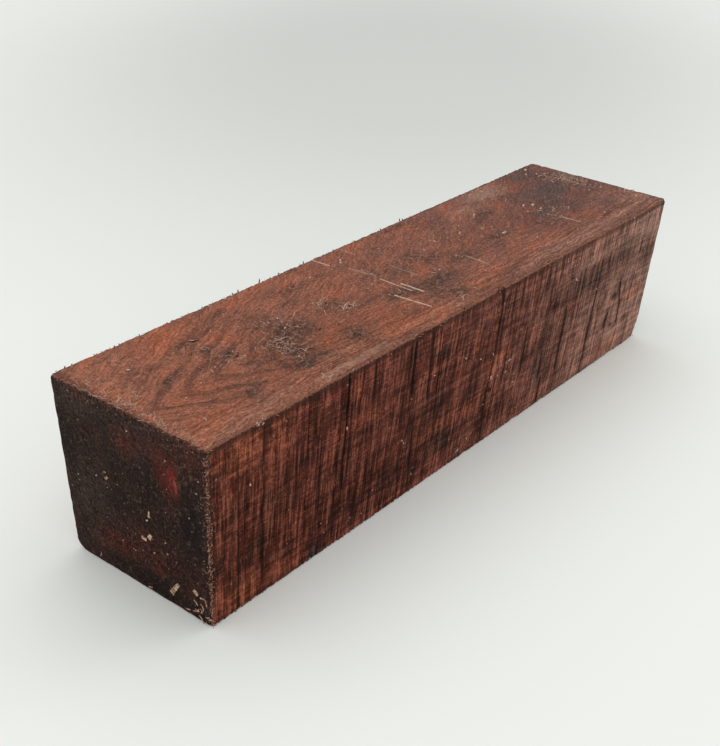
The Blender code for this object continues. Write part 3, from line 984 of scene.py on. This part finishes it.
def waxed_finish(name, near):
    wax = Finish(name, 0.6, 0.05)
    _, y, z = wax.parts(wax.place())
    flat = wax.joined(y, z)
    dark, red, grey = wax.marks("stains")
    shade, ruddy, spatter = wax.marks("tones")
    waved = wax.warped(wax.warped(flat, 8.0, 1.8), 1.5, 0.5)
    shreds = wax.grain(flat, (1.6, 3.0, 2.0), detail=7.0, rough=0.75, turn=-35.0)
    mottle = wax.grain(waved, (11.0, 14.0, 9.0), detail=5.0, rough=0.65)
    wax.colour = wax.ramp(mottle, (
        (0.30, (40, 27, 22)),
        (0.50, (54, 35, 29)),
        (0.70, (68, 43, 35)),
    ))
    wax.coat((66, 55, 50), wax.torn(grey, shreds, 0.9, 0.1, 0.9, 0.75))
    wax.coat((86, 45, 36), wax.torn(ruddy, shreds, 0.9, 0.1, 1.0, 0.7))
    wax.coat((100, 45, 33), wax.torn(red, shreds, 0.9, 0.2, 1.0, 0.7))
    wax.tone(wax.scaled(shade, 0.0, 1.0, 1.0, 0.66))
    wax.coat((27, 22, 21), wax.torn(dark, shreds, 0.9, 0.15, 0.9, 0.8))
    if near:
        # A red spot in the wax: its red is the end's own colour, and it is painted brighter towards a core
        # as a painted glow
        painted_red_glow = wax.patch(waved, (18.2, 58.0), (5.4, 6.6), 0.85)
        painted_red_glow = wax.times(painted_red_glow, wax.fade(wax.times_plus(shreds, 2.0, y), 12.6, 15.4))
        wax.coat((104, 34, 28), wax.times(painted_red_glow, 0.6))
        painted_glow_core = wax.patch(waved, (15.8, 56.4), (2.6, 4.6), 0.9)
        wax.coat((136, 50, 38), wax.times(painted_glow_core, 0.5))
    grit = wax.grain(flat, (0.9, 0.9, 0.9), detail=5.0, rough=0.8)
    wax.tone(wax.woven((grit, wax.between(9.4, 5.4, grey)), (shreds, wax.between(4.6, 2.4, grey))))
    pits = wax.times(wax.specks(flat, 1.6, 0.4, shift=5.0), 0.7)
    if near:
        pits = wax.times(pits, wax.less(1.0, wax.times(painted_red_glow, 0.8)))
        # Painted highlight: a small bright glint on the red spot
        painted_glint = wax.patch(waved, (14.6, 55.4), (0.7, 2.6), 0.8)
        wax.coat((206, 110, 84), wax.times(painted_glint, 0.6))
    wax.coat((17, 12, 11), pits)
    broken_up = wax.fade(wax.grain(flat, (3.0, 3.0, 2.0), detail=2.0, shift=23.0), 0.46, 0.58)
    crack = wax.threads(flat, (3.0, 4.2, 2.0), 0.05, turn=-30.0)
    wax.coat((20, 13, 11), wax.times(wax.times(crack, broken_up), 0.8))
    hair = wax.threads(flat, (2.2, 3.4, 2.0), 0.04, turn=24.0, shift=31.0)
    hair = wax.times(wax.times(hair, broken_up), 0.4)
    wax.coat((120, 92, 80), hair)
    edge_band = wax.times_plus(shreds, -10.0, wax.less(HEIGHT, z))
    wax.coat((104, 68, 55), wax.fade(edge_band, -3.2, -5.4, 0.0, 0.8))
    heaped = wax.times(wax.specks(flat, 1.0, 0.24), wax.fade(spatter, 0.2, 1.1))
    sparse = wax.specks(flat, 1.0, 0.004, shift=50.0)
    pale = wax.times(wax.larger(heaped, sparse), 0.65)
    wax.coat((158, 124, 108), pale)
    height = wax.times(shreds, 0.8)
    height = wax.times_plus(grit, 0.8, height)
    height = wax.times_plus(pits, -0.3, height)
    height = wax.times_plus(pale, 0.2, height)
    return wax.finish(height)


def underside_finish():
    wood = Finish("underside_wood", 0.75, 0.08)
    flat = wood.vector("MULTIPLY", wood.place(), (1.0, 1.0, 0.0))
    stain, warm, _ = wood.marks("stains")
    waved = wood.warped(flat, 10.0, 2.0)
    shreds = wood.grain(flat, (4.2, 2.4, 3.0), detail=5.0, rough=0.7)
    blotch = wood.grain(waved, (34.0, 12.0, 10.0), detail=4.0, rough=0.6)
    wood.colour = wood.ramp(blotch, (
        (0.30, (92, 56, 45)),
        (0.50, (130, 78, 58)),
        (0.70, (148, 86, 60)),
    ))
    wood.coat((160, 88, 58), wood.torn(warm, shreds, 0.7, 0.3, 1.0, 0.5))
    wood.coat((74, 50, 43), wood.torn(stain, shreds, 1.0, 0.3, 0.9, 0.7))
    lines = wood.grain(waved, (50.0, 1.6, 10.0), detail=4.0, rough=0.6)
    wood.tone(wood.scaled(lines, 0.3, 0.7, 0.7, 1.25))
    nap = wood.grain(flat, (1.6, 0.8, 2.0), detail=4.0, rough=0.7)
    wood.tone(wood.scaled(nap, 0.3, 0.7, 0.76, 1.26))
    return wood.finish(wood.times(nap, 0.3))


def finish_of_block():
    return {
        "sawn_side_wood": sawn_finish("sawn_side_wood", False),
        "top_face_wood": top_finish(),
        "near_end_wax": waxed_finish("near_end_wax", True),
        "far_end_wax": waxed_finish("far_end_wax", False),
        "back_side_wood": sawn_finish("back_side_wood", True),
        "underside_wood": underside_finish(),
    }


def bit_finish(name, colour, darker, roughness):
    """A plain fibre or crumb, mottled between two tones."""
    bit = Finish(name, roughness, 0.15)
    mottle = bit.grain(bit.place(), (1.1, 1.1, 1.1), detail=2.0, rough=0.6)
    bit.colour = rgb(darker)
    bit.coat(colour, bit.fade(mottle, 0.35, 0.62))
    bit.feed(bit.shader.inputs["Base Color"], bit.colour)
    return bit.material


# Loose bits: slivers, crumbs and flakes, each modelled once and copied

# Face by face: the way along, the way across and the way out
TOP = (Vector((1, 0, 0)), Vector((0, 1, 0)), Vector((0, 0, 1)))
SIDE = (Vector((1, 0, 0)), Vector((0, 0, 1)), Vector((0, -1, 0)))
NEAR_END = (Vector((0, -1, 0)), Vector((0, 0, 1)), Vector((-1, 0, 0)))


def on_top(x, y):
    return Vector((x, y, HEIGHT)), TOP


def on_side(x, z):
    return Vector((x, 0.0, z)), SIDE


def on_near_end(y, z):
    return Vector((0.0, y, z)), NEAR_END


def make_sliver(name, rings, sides):
    """A tapering sliver along x, from 0 to 1, about 1 across, for copies to scale and bend."""
    deselect_all()
    bpy.ops.mesh.primitive_cylinder_add(vertices=sides, radius=0.5, depth=1.0, end_fill_type="NGON")
    sliver = bpy.context.object
    sliver.name = name
    bpy.ops.object.mode_set(mode="EDIT")
    bpy.ops.mesh.select_mode(type="EDGE")
    cut_rows(sliver.data, 2, rings)
    bpy.ops.object.mode_set(mode="OBJECT")
    for vert in sliver.data.vertices:
        across, up, along = vert.co
        along = along + 0.5
        taper = 0.25 + 0.75 * math.sin(math.pi * (0.12 + 0.80 * along)) ** 0.7
        vert.co = (along, across * taper, up * taper)
    return sliver


def make_crumb(name, rng):
    """A small broken lump about 1 across."""
    deselect_all()
    bpy.ops.mesh.primitive_ico_sphere_add(subdivisions=1, radius=0.5)
    crumb = bpy.context.object
    crumb.name = name
    for vert in crumb.data.vertices:
        vert.co = vert.co * rng.uniform(0.65, 1.2)
    return crumb


def make_flake(name, rng):
    """A thin chip of wood or wax along x, about 1 long, 1 wide and 1 thick before it is scaled."""
    deselect_all()
    bpy.ops.mesh.primitive_cube_add(size=1.0)
    flake = bpy.context.object
    flake.name = name
    bpy.ops.object.mode_set(mode="EDIT")
    bpy.ops.mesh.select_mode(type="EDGE")
    cut_rows(flake.data, 0, 3)
    cut_rows(flake.data, 1, 1)
    bpy.ops.object.mode_set(mode="OBJECT")
    for vert in flake.data.vertices:
        jag = noise.noise(Vector((vert.co.x * 3.0, vert.co.y * 3.0, 5.0)))
        vert.co.y *= 1.0 + 0.5 * jag
        vert.co.x += 0.14 * noise.noise(Vector((vert.co.y * 4.0, 2.0, 0.0)))
        vert.co.z += 0.35 * rng.uniform(-1.0, 1.0) * 0.3
    return flake


# No bit reaches further down than this above the floor
LOWEST_BIT = 0.05


class Litter:
    """A heap of copies of one bit, joined to one piece at the end."""

    def __init__(self, template, name):
        self.template = template
        self.name = name
        self.copies = []
        shape = np.zeros(len(template.data.vertices) * 3)
        template.data.vertices.foreach_get("co", shape)
        self.shape = shape.reshape(-1, 3)

    def put(self, spot, size, turn=0.0, tilt=0.0, lift=0.0, bend=0.0):
        """One copy at a spot of a face: turned in it, tilted out of it and bent sideways, in degrees."""
        point, (along, across, out) = spot
        shape = self.shape * np.array(size)
        if bend:
            radius = size[0] / math.radians(bend)
            angle = shape[:, 0] / radius
            reach = radius - shape[:, 1]
            shape = np.stack((reach * np.sin(angle), radius - reach * np.cos(angle), shape[:, 2]), 1)
        spin = Matrix.Rotation(math.radians(turn), 3, "Z")
        spin = spin @ Matrix.Rotation(math.radians(-tilt), 3, "Y")
        axes = Matrix((along, across, out)).transposed() @ spin
        base = (out_of_square(point) + CORNER + out * lift) * MM
        places = shape @ np.array(axes.transposed()) * MM + np.array(base)
        places[:, 2] = np.maximum(places[:, 2], LOWEST_BIT * MM)
        copy = self.template.copy()
        copy.data = self.template.data.copy()
        copy.data.vertices.foreach_set("co", places.ravel())
        bpy.context.scene.collection.objects.link(copy)
        self.copies.append(copy)

    def gather(self, material):
        """Joins the copies to one piece and clears the template away."""
        deselect_all()
        bpy.data.objects.remove(self.template)
        for copy in self.copies:
            copy.data.materials.append(material)
            copy.select_set(True)
        bpy.context.view_layer.objects.active = self.copies[0]
        bpy.ops.object.join()
        heap = bpy.context.object
        heap.name = self.name
        heap.data.name = self.name
        settle(heap)
        return heap


def settle(piece):
    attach(piece, "root")
    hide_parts("turning_blank")


# Pale chips on the top: x, y, length, turn
TOP_CHIPS = (
    (138, 62.3, 2.2, 50), (140, 64.2, 1.5, 40), (118, 61.5, 1.4, 60), (172.5, 45.5, 2, 70),
    (182.5, 49.5, 2, 60), (183.5, 48, 1.5, 110), (188.5, 52, 1.5, 60), (199, 45.5, 2.6, 20),
    (205.5, 50.5, 1.3, 30), (222, 53.5, 3.2, 30), (219.6, 52, 1.8, 38), (210, 41, 2.2, 80),
    (213, 31.5, 3.4, 4), (243, 38, 1.8, 70), (248, 43.5, 2.4, 42), (252, 40.8, 2.6, 30),
    (251, 36, 2.4, 25), (247, 26, 1.6, 50), (248.5, 23.5, 1.9, 80), (237, 22, 1.7, 40),
    (218.5, 18.3, 1.4, 30), (226.5, 15.2, 1.4, 30), (267, 12, 1.7, 30), (287, 66, 2.6, 32),
    (293, 70, 2.8, 34), (292, 63, 2, 30), (289, 32, 1.6, 30), (297, 30, 1.8, 60), (298, 12, 1.6, 40),
    (302, 20, 1.8, 30), (176.5, 31.8, 1.3, 30), (160, 28.5, 1.3, 20), (180, 22.5, 1.3, 80),
    (188, 20, 1.5, 40), (198.5, 5.2, 1.5, 20), (19, 55.9, 1.6, 0), (70, 42, 1.4, 100),
    (77, 46, 1.6, 70), (82, 46, 1.5, 40), (78, 38.5, 1.3, 20), (82, 36, 1.5, 50),
)

# Curled fibres on the top: x, y, length, turn, bend
TOP_CURLS = (
    (49.4, 36.6, 3.6, 80, 120), (47.6, 57, 3.4, -70, 60), (104, 32.6, 4.2, 30, 70),
    (106.6, 34.2, 4, 40, -60), (108.6, 31.6, 3, 20, 140), (156, 27, 3.2, 50, 150),
    (157.6, 29.6, 2.6, 10, 100), (141.6, 4.6, 4.4, 10, 80), (144.6, 6.4, 3.6, 40, -90),
    (146.6, 8.2, 3, 70, 60), (160.4, 42.6, 2.8, 40, 120), (162, 43.4, 2.2, 100, 100),
    (12.4, 12, 2.4, 30, 90), (58, 3.4, 3.4, 10, 80), (60, 2.4, 2.6, -30, 70), (100.6, 42, 3.6, 30, 90),
    (103, 43.6, 3.2, 50, -80), (125, 37, 2.2, 40, 110), (96, 34.6, 3.4, 44, 15), (210, 41.4, 3, 30, 60),
    (137, 45, 2.4, 60, 60), (292, 44, 4.4, 30, 60), (294, 50, 4, 60, -50), (290, 56, 4.6, 20, 80),
    (296, 54, 3.6, 80, 50), (288, 60, 4, 10, -70), (298, 44, 3.8, 50, 90), (286, 50, 3.4, 40, 60),
    (293, 60, 3, -20, 60), (246, 27, 4, 70, 50), (251, 30, 4.4, 40, -60), (258, 26, 4, 10, 30),
    (248, 33, 3, 100, 70), (67.4, 34.6, 3.2, -60, 40), (69, 33.8, 3, -30, 30), (64, 30.6, 3, 10, 30),
)

# Patches of pale fibres on the top: middle, reach, how many, main turn
TOP_FIBRES = (
    ((67.5, 32.5), (3.2, 2.4), 16, 140), ((67, 27), (3, 3.2), 14, 60), ((64, 18.5), (3.2, 1.6), 9, 45),
    ((70, 21.5), (1.6, 2.2), 6, 60), ((2, 38), (2.4, 22), 70, 90), ((5, 41), (6, 2.4), 14, 20),
    ((296, 47), (5.5, 9), 70, 35), ((292, 52), (6, 4), 24, 35), ((253, 29), (8, 5), 20, 20),
    ((137, 46), (1.6, 8), 10, 80), ((102.5, 42), (3.6, 2.4), 12, 30), ((107, 33), (4, 2.4), 14, 30),
    ((300, 12), (3.6, 9), 12, 30), ((135, 30), (5, 5), 8, 60), ((21, 66.5), (2, 2), 5, 20),
    ((55, 40), (26, 16), 26, 30), ((80, 42), (12, 8), 16, 40), ((210, 30), (90, 34), 60, 35),
    ((70, 60), (60, 14), 16, 30),
)

# Pale chips on the sawn side: x, z, length, turn
SIDE_CHIPS = (
    (24, 74.4, 2.2, 20), (26, 75.4, 2.4, -30), (25.4, 73.4, 1.6, 60), (22.8, 75.2, 1.4, 0),
    (19.5, 52, 1.5, 110), (68.5, 51.5, 1.6, 95), (70, 75.6, 1.3, 20), (59.5, 13, 1.9, 100),
    (103, 29.2, 1.6, -20), (104.2, 27.6, 1.4, 100), (111.5, 11.4, 1.3, 60), (111.5, 9, 1.5, 30),
    (142, 51, 1.3, 120), (148.5, 63.5, 1.6, 100), (148.8, 61, 1.3, 150), (153.5, 46, 1.4, 150),
    (163.2, 44.5, 1.8, 105), (164, 32.6, 2.2, 105), (169.2, 31.4, 1.3, 60), (177.5, 36, 1.9, 20),
    (175.4, 30.6, 1.9, 50), (183, 22.6, 2, -40), (145, 5, 3, 60), (143.6, 3.6, 1.6, 80),
    (121, 51.6, 1.5, -30), (226.8, 57.8, 3.2, -40), (249, 45.6, 1.4, -50), (273.5, 74.6, 1.7, -40),
    (299, 27, 1.5, 100), (287.6, 73.2, 1.6, -20), (290.6, 72.8, 1.4, 20), (215, 70.6, 1.4, 40),
    (214.4, 72.4, 1.3, -40), (216, 64.6, 1.4, 0), (182.6, 68.4, 1.8, 10), (153.4, 8.6, 2.4, 20),
    (151, 7.6, 1.6, 40),
)

# Specks knocked dark into the sawn side: x, z, length, turn
SIDE_HOLES = (
    (224, 59.6, 2.6, 150), (234.4, 64, 2, 110), (234.6, 60, 1.6, 80), (242, 63.4, 1.5, 60),
    (242.2, 59.4, 1.3, 90), (246.6, 66, 2, 110), (247.6, 63.2, 2, 120), (249.8, 62, 1.6, 70),
    (249, 53, 1.6, 100), (290, 53.4, 1.8, 80), (260, 67.8, 1.4, 30), (230, 37.8, 1.6, 140),
    (227, 38.4, 1.2, 10), (237, 39.6, 1.2, 60), (279, 4.6, 1.4, 110), (164, 74.6, 1.8, 100),
    (268.6, 54, 1.2, 80), (275.4, 55.8, 1, 60), (137, 75.2, 1.3, 120), (148.6, 36.6, 1.5, 80),
)

# Dark bits on the top, mostly beside a pale curl: x, y, length, turn
TOP_HOLES = (
    (107.6, 33, 2, 30), (49.6, 35.4, 2.2, 20), (50.6, 39.6, 1.4, 80), (93.6, 25.4, 1.4, 80),
    (91.6, 14.6, 1.3, 20), (103.6, 41, 1.6, 30), (188.6, 19.4, 1.4, 60), (68, 24, 2.4, 95),
    (66.6, 29.6, 1.4, 60), (72.6, 19.6, 2.4, 110), (85, 28.4, 1.6, 10), (291, 37, 1.6, -30),
    (292, 42, 1.8, 120), (293, 54, 1.8, 30), (295, 49, 1.6, 45), (298.6, 52, 1.6, 45),
    (281, 64, 1.3, 30), (157, 28.4, 1.4, 60), (47.6, 54.6, 1.8, 40), (243.6, 67.4, 1.8, 20),
    (209, 31.6, 1.4, 30), (130, 27.4, 1.6, 10), (206, 31, 1.6, 40), (225, 51.6, 1.6, 10),
)

# Tan flakes in the wax of the near end: y, z, length, width, turn from the way towards the sawn side
TAN_FLAKES = (
    (50.1, 42.3, 1.8, 1, 50), (32.9, 23.8, 2.4, 1.2, -5), (29.6, 26.1, 2.2, 1.5, 60),
    (28.9, 36.4, 2.6, 0.8, 85), (18.3, 8.4, 7.4, 1.7, 58), (8, 12.5, 3.2, 1.7, -25),
    (4.4, 11.2, 2.2, 0.6, 15),
)

# Pale chips on the near end, in the same order
NEAR_CHIPS = (
    (3.6, 62, 1.2, 0.8, 20), (4.6, 56.6, 1.2, 0.8, 10),
    (18.4, 63.6, 1.2, 0.9, 60), (36, 68, 1, 0.8, 30), (50.6, 44.6, 1.6, 0.5, 10),
    (55.6, 41, 1.1, 0.5, 60), (30.4, 33, 1.2, 0.6, 20), (28, 19.6, 0.9, 0.7, 30),
    (38.4, 15.6, 0.8, 0.6, 30), (66, 37, 0.9, 0.7, 60), (45, 16.8, 0.9, 0.6, 30),
    (21.6, 27.4, 1, 0.5, 50), (21, 22.6, 0.9, 0.6, 30), (7, 25.4, 0.9, 0.6, 10),
    (65.6, 34.6, 0.7, 0.6, 10), (8.6, 44.6, 0.8, 0.6, 20), (7.6, 39.4, 0.7, 0.5, 80),
)

# Curled fibres stuck in the wax at the near end's lower corner: y, z, length, turn, bend
NEAR_CURLS = (
    (9.4, 3, 4.4, 10, 60), (6.4, 2.4, 4.2, -12, -80), (4.4, 5.4, 3.6, 50, 120), (7, 6.6, 2.6, 100, 70),
    (2.4, 8.6, 3.2, 70, 60), (1.6, 2.6, 3.2, 62, -70), (5.4, 4, 2.6, 20, 150), (8.2, 4.6, 2.4, -40, 90),
    (3, 3.4, 2.4, 0, 60), (13, 2, 2.6, 8, 30), (33, 1.6, 2.4, 0, 40), (60, 2.2, 2.6, 30, 70),
)

# Splinters that stand on the back arris: x, length
TALL_SPLINTERS = (
    (6, 1.6), (9, 1.0), (39, 1.0), (70, 1.0), (86, 1.6), (89, 2.4), (101, 3.6), (112, 1.8), (127, 2.4),
    (178, 1.6), (192, 3.2), (194, 2.0), (55, 0.8), (146, 0.9), (160, 0.9), (208, 1.0), (232, 0.8),
)

# How many random bits: fibres and crumbs along the near end's arrises and the side's upper rim,
# crumbs strewn over the wax and the top, and dark splinters along the back and the lower arris
END_ARRIS_FIBRES = 460
SIDE_ARRIS_FIBRES = 170
RIM_FIBRES = 330
END_ARRIS_CRUMBS = 130
WAX_CRUMBS = 70
SIDE_CRUMBS = 120
RIM_CRUMBS = 110
TOP_CRUMBS = 110
BACK_SPLINTERS = 200
LOWER_SPLINTERS = 150


def scatter_pale_bits(rng):
    """Chips of pale wood and wax that lie on the top, the sawn side and the near end."""
    chips = Litter(make_flake("pale_chip", rng), "pale_chips")
    for x, y, length, turn in TOP_CHIPS:
        size = (0.72 * length, (0.12 + 0.2 * rng.random()) * length + 0.16, 0.2)
        chips.put(on_top(x, y), size, turn, rng.uniform(-8, 14), 0.08, rng.uniform(10, 60))
    for x, z, length, turn in SIDE_CHIPS:
        size = (0.72 * length, (0.1 + 0.2 * rng.random()) * length + 0.16, 0.2)
        chips.put(on_side(x, z), size, turn, rng.uniform(-6, 12), -0.1, rng.uniform(10, 60))
    for y, z, length, width, turn in NEAR_CHIPS:
        chips.put(on_near_end(y, z), (0.7 * length, 0.7 * width, 0.25), turn, rng.uniform(-6, 10), -0.1)
    return chips.gather(bit_finish("pale_chip_wood", (206, 178, 158), (138, 104, 86), 0.8))


def lay_tan_flakes(rng):
    """The larger tan flakes stuck in the wax of the near end."""
    flakes = Litter(make_flake("tan_flake", rng), "tan_flakes")
    for y, z, length, width, turn in TAN_FLAKES:
        flakes.put(on_near_end(y, z), (length, width, 0.35), turn, rng.uniform(-3, 4), -0.1)
    return flakes.gather(bit_finish("tan_flake_wood", (196, 168, 138), (122, 92, 70), 0.75))


def scatter_fibres(rng):
    """Pale torn fibres: patches and curls on the top, and curls stuck in the wax of the near end."""
    fibres = Litter(make_sliver("pale_fibre", 5, 5), "pale_fibres")
    for (x, y), (reach_x, reach_y), count, main_turn in TOP_FIBRES:
        for _ in range(count):
            spot = on_top(
                min(max(x + reach_x * rng.uniform(-1, 1), 0.2), LENGTH - 0.5),
                min(max(y + reach_y * rng.uniform(-1, 1), 0.5), WIDTH - 0.5),
            )
            length = rng.uniform(0.9, 2.8)
            thick = rng.uniform(0.16, 0.34)
            turn = main_turn + rng.gauss(0.0, 38.0)
            tilt = rng.uniform(-2, 14)
            fibres.put(spot, (length, thick, thick * 0.8), turn, tilt, 0.02, rng.uniform(-60, 60))
    for x, y, length, turn, bend in TOP_CURLS:
        fibres.put(on_top(x, y), (length, 0.5, 0.34), turn, rng.uniform(0, 8), 0.05, bend)
    for y, z, length, turn, bend in NEAR_CURLS:
        fibres.put(on_near_end(y, z), (length, 0.6, 0.36), turn, rng.uniform(0, 8), 0.1, bend)
    # One long fibre lies by the far end
    fibres.put(on_top(299.0, 15.2), (6.6, 0.3, 0.26), 12, 3, 0.1, 8.0)
    return fibres.gather(bit_finish("pale_fibre_wood", (192, 158, 136), (132, 96, 78), 0.8))


def fray_arrises(rng):
    """Short fibres and crumbs torn up along the arrises, and crumbs strewn over the wax and the top."""
    fray = Litter(make_sliver("arris_fibre", 2, 4), "arris_fibres")
    crumbs = Litter(make_crumb("arris_crumb", rng), "arris_crumbs")
    for _ in range(END_ARRIS_FIBRES):
        y = rng.uniform(1.0, WIDTH - 1.0)
        length = rng.uniform(0.5, 1.7)
        spot = on_top(rng.uniform(0.0, 2.0), y)
        fray.put(spot, (length, 0.17, 0.15), rng.uniform(60, 300), rng.uniform(-14, 18), -0.1, 20.0)
    for _ in range(SIDE_ARRIS_FIBRES):
        z = rng.uniform(1.0, HEIGHT - 1.0)
        length = rng.uniform(0.5, 1.8)
        spot = on_side(rng.uniform(0.0, 1.2), z)
        fray.put(spot, (length, 0.2, 0.18), rng.uniform(20, 250), rng.uniform(0, 30), -0.15, 20.0)
    for _ in range(RIM_FIBRES):
        x = rng.uniform(1.0, LENGTH - 4.0)
        length = rng.uniform(0.5, 2.0)
        spot = on_side(x, HEIGHT - rng.uniform(0.0, 1.4))
        fray.put(spot, (length, 0.2, 0.18), rng.gauss(20, 40), rng.uniform(-4, 26), -0.15, 20.0)
    for _ in range(END_ARRIS_CRUMBS):
        side = rng.random() < 0.5
        spot = on_near_end(rng.uniform(0.2, 3.0), rng.uniform(1.0, 75.0))
        if side:
            spot = on_near_end(rng.uniform(1.0, 72.0), HEIGHT - rng.uniform(0.1, 4.0) ** 1.3)
        size = rng.uniform(0.3, 0.85)
        crumbs.put(spot, (size, size * 0.8, size * 0.6), rng.uniform(0, 180), 0, -0.1)
    for count, (smallest, largest), sunk, spot in (
        (WAX_CRUMBS, (0.3, 0.75), 0.15, lambda: on_near_end(rng.uniform(1.0, 72.0), rng.uniform(1.0, 75.0))),
        (SIDE_CRUMBS, (0.3, 0.8), 0.1, lambda: on_side(rng.uniform(0.0, 1.6), rng.uniform(0.5, 75.5))),
        (RIM_CRUMBS, (0.3, 0.8), 0.15, lambda: on_side(rng.uniform(2, 300), HEIGHT - rng.uniform(0, 3))),
        (TOP_CRUMBS, (0.25, 0.6), 0.1, lambda: on_top(rng.uniform(1.0, 300.0), rng.uniform(1.0, 72.0))),
    ):
        for _ in range(count):
            size = rng.uniform(smallest, largest)
            crumbs.put(spot(), (size, size * 0.8, size * 0.6), rng.uniform(0, 180), 0, -sunk)
    fray.gather(bit_finish("arris_fibre_wood", (176, 128, 104), (104, 66, 52), 0.85))
    crumbs.gather(bit_finish("arris_crumb_wax", (184, 154, 136), (120, 88, 74), 0.7))


def raise_splinters(rng):
    """Dark splinters on the back and the lower arris, and dark torn spots on the top and the sawn side."""
    splinters = Litter(make_sliver("dark_splinter", 2, 4), "dark_splinters")
    for x, length in TALL_SPLINTERS:
        spot = on_top(x, WIDTH - 0.5)
        splinters.put(spot, (0.8 * length, 0.5, 0.35), 40, 10, -0.15, 8.0)
    for _ in range(BACK_SPLINTERS):
        spot = on_top(rng.uniform(1.0, LENGTH - 1.0), WIDTH - rng.uniform(0.2, 1.4))
        length = rng.uniform(0.4, 0.9)
        splinters.put(spot, (length, 0.3, 0.25), rng.uniform(-10, 80), rng.uniform(0, 12), -0.2, 10.0)
    for x, y, length, turn in TOP_HOLES:
        splinters.put(on_top(x, y), (length, 0.6, 0.25), turn, 0, -0.08, 20.0)
    for x, z, length, turn in SIDE_HOLES:
        splinters.put(on_side(x, z), (length, 0.9, 0.3), turn, 0, -0.2, 20.0)
    for _ in range(LOWER_SPLINTERS):
        spot = on_side(rng.uniform(1.0, LENGTH - 2.0), rng.uniform(0.0, 1.0))
        length = rng.uniform(0.4, 1.3)
        splinters.put(spot, (length, 0.3, 0.25), rng.uniform(-60, 60), rng.uniform(0, 20), -0.2, 10.0)
    return splinters.gather(bit_finish("dark_splinter_wood", (54, 34, 28), (28, 18, 16), 0.85))


# Studio

# The floor sheet is painted darker in a wide oval behind the block: painted shade where the studio light
# falls off
FLOOR_COLOUR = (0.842, 0.852, 0.804)
FLOOR_DIM_PLACE = (0.49, 0.38, 0.0)
FLOOR_DIM_TURN = math.radians(30.0)
FLOOR_DIM_REACH = (0.445, 0.319, 1.0)
FLOOR_DIM_EDGE = 0.73
FLOOR_DIM = 0.297


def lay_floor():
    deselect_all()
    bpy.ops.mesh.primitive_plane_add(size=8.0, location=(0.0, 0.0, 0.0))
    floor = bpy.context.object
    floor.name = "pale_floor"
    sheet = Finish("pale_floor_sheet", 0.9, 0.1)
    inputs = (
        ("Vector", sheet.node("ShaderNodeTexCoord").outputs["Object"]),
        ("Location", FLOOR_DIM_PLACE),
        ("Rotation", (0.0, 0.0, FLOOR_DIM_TURN)),
        ("Scale", FLOOR_DIM_REACH),
    )
    off = sheet.node("ShaderNodeMapping", inputs, vector_type="TEXTURE").outputs[0]
    away = sheet.vector("LENGTH", off)
    # Painted shade: the floor's colour is darkened inside the oval behind the block
    painted_shade = sheet.fade(away, 1.0 + FLOOR_DIM_EDGE, 1.0 - FLOOR_DIM_EDGE, 0.0, FLOOR_DIM)
    sheet.colour = FLOOR_COLOUR
    sheet.tone(sheet.less(1.0, painted_shade))
    sheet.feed(sheet.shader.inputs["Base Color"], sheet.colour)
    floor.data.materials.append(sheet.material)


def add_lamp(name, place, target, size, power, colour=(1.0, 1.0, 1.0)):
    data = bpy.data.lights.new(name, "AREA")
    data.shape = "DISK"
    data.size = size
    data.energy = power
    data.color = colour
    lamp = bpy.data.objects.new(name, data)
    lamp.location = place
    lamp.rotation_euler = (Vector(target) - Vector(place)).to_track_quat("-Z", "Y").to_euler()
    bpy.context.scene.collection.objects.link(lamp)


def light_studio():
    add_lamp("overhead_softbox", (0.05, 0.15, 1.15), (0.0, 0.0, 0.0), 1.6, 4.4)
    add_lamp("far_right_softbox", (0.95, -0.55, 0.6), (0.1, 0.0, 0.03), 0.7, 1.0)
    world = bpy.data.worlds.new("studio")
    world.use_nodes = True
    world.node_tree.nodes["Background"].inputs["Color"].default_value = (0.97, 0.985, 1.0, 1.0)
    world.node_tree.nodes["Background"].inputs["Strength"].default_value = 0.86
    bpy.context.scene.world = world


def place_camera():
    data = bpy.data.cameras.new("photo_camera")
    data.sensor_width = 36.0
    data.lens = LENS
    camera = bpy.data.objects.new("photo_camera", data)
    camera.location = CAMERA_PLACE
    aim = (CAMERA_TARGET - CAMERA_PLACE).to_track_quat("-Z", "Y")
    camera.rotation_mode = "QUATERNION"
    camera.rotation_quaternion = aim @ Quaternion((0.0, 0.0, 1.0), CAMERA_ROLL)
    bpy.context.scene.collection.objects.link(camera)
    bpy.context.scene.camera = camera


def main():
    rng = random.Random(SEED)
    bpy.context.scene.view_settings.view_transform = "Standard"
    place_camera()
    light_studio()
    lay_floor()
    blank = build_blank(rng)
    finishes = finish_of_block()
    for name, _ in FACES:
        blank.data.materials.append(finishes[name])
    settle(blank)
    scatter_pale_bits(rng)
    lay_tan_flakes(rng)
    scatter_fibres(rng)
    fray_arrises(rng)
    raise_splinters(rng)


main()
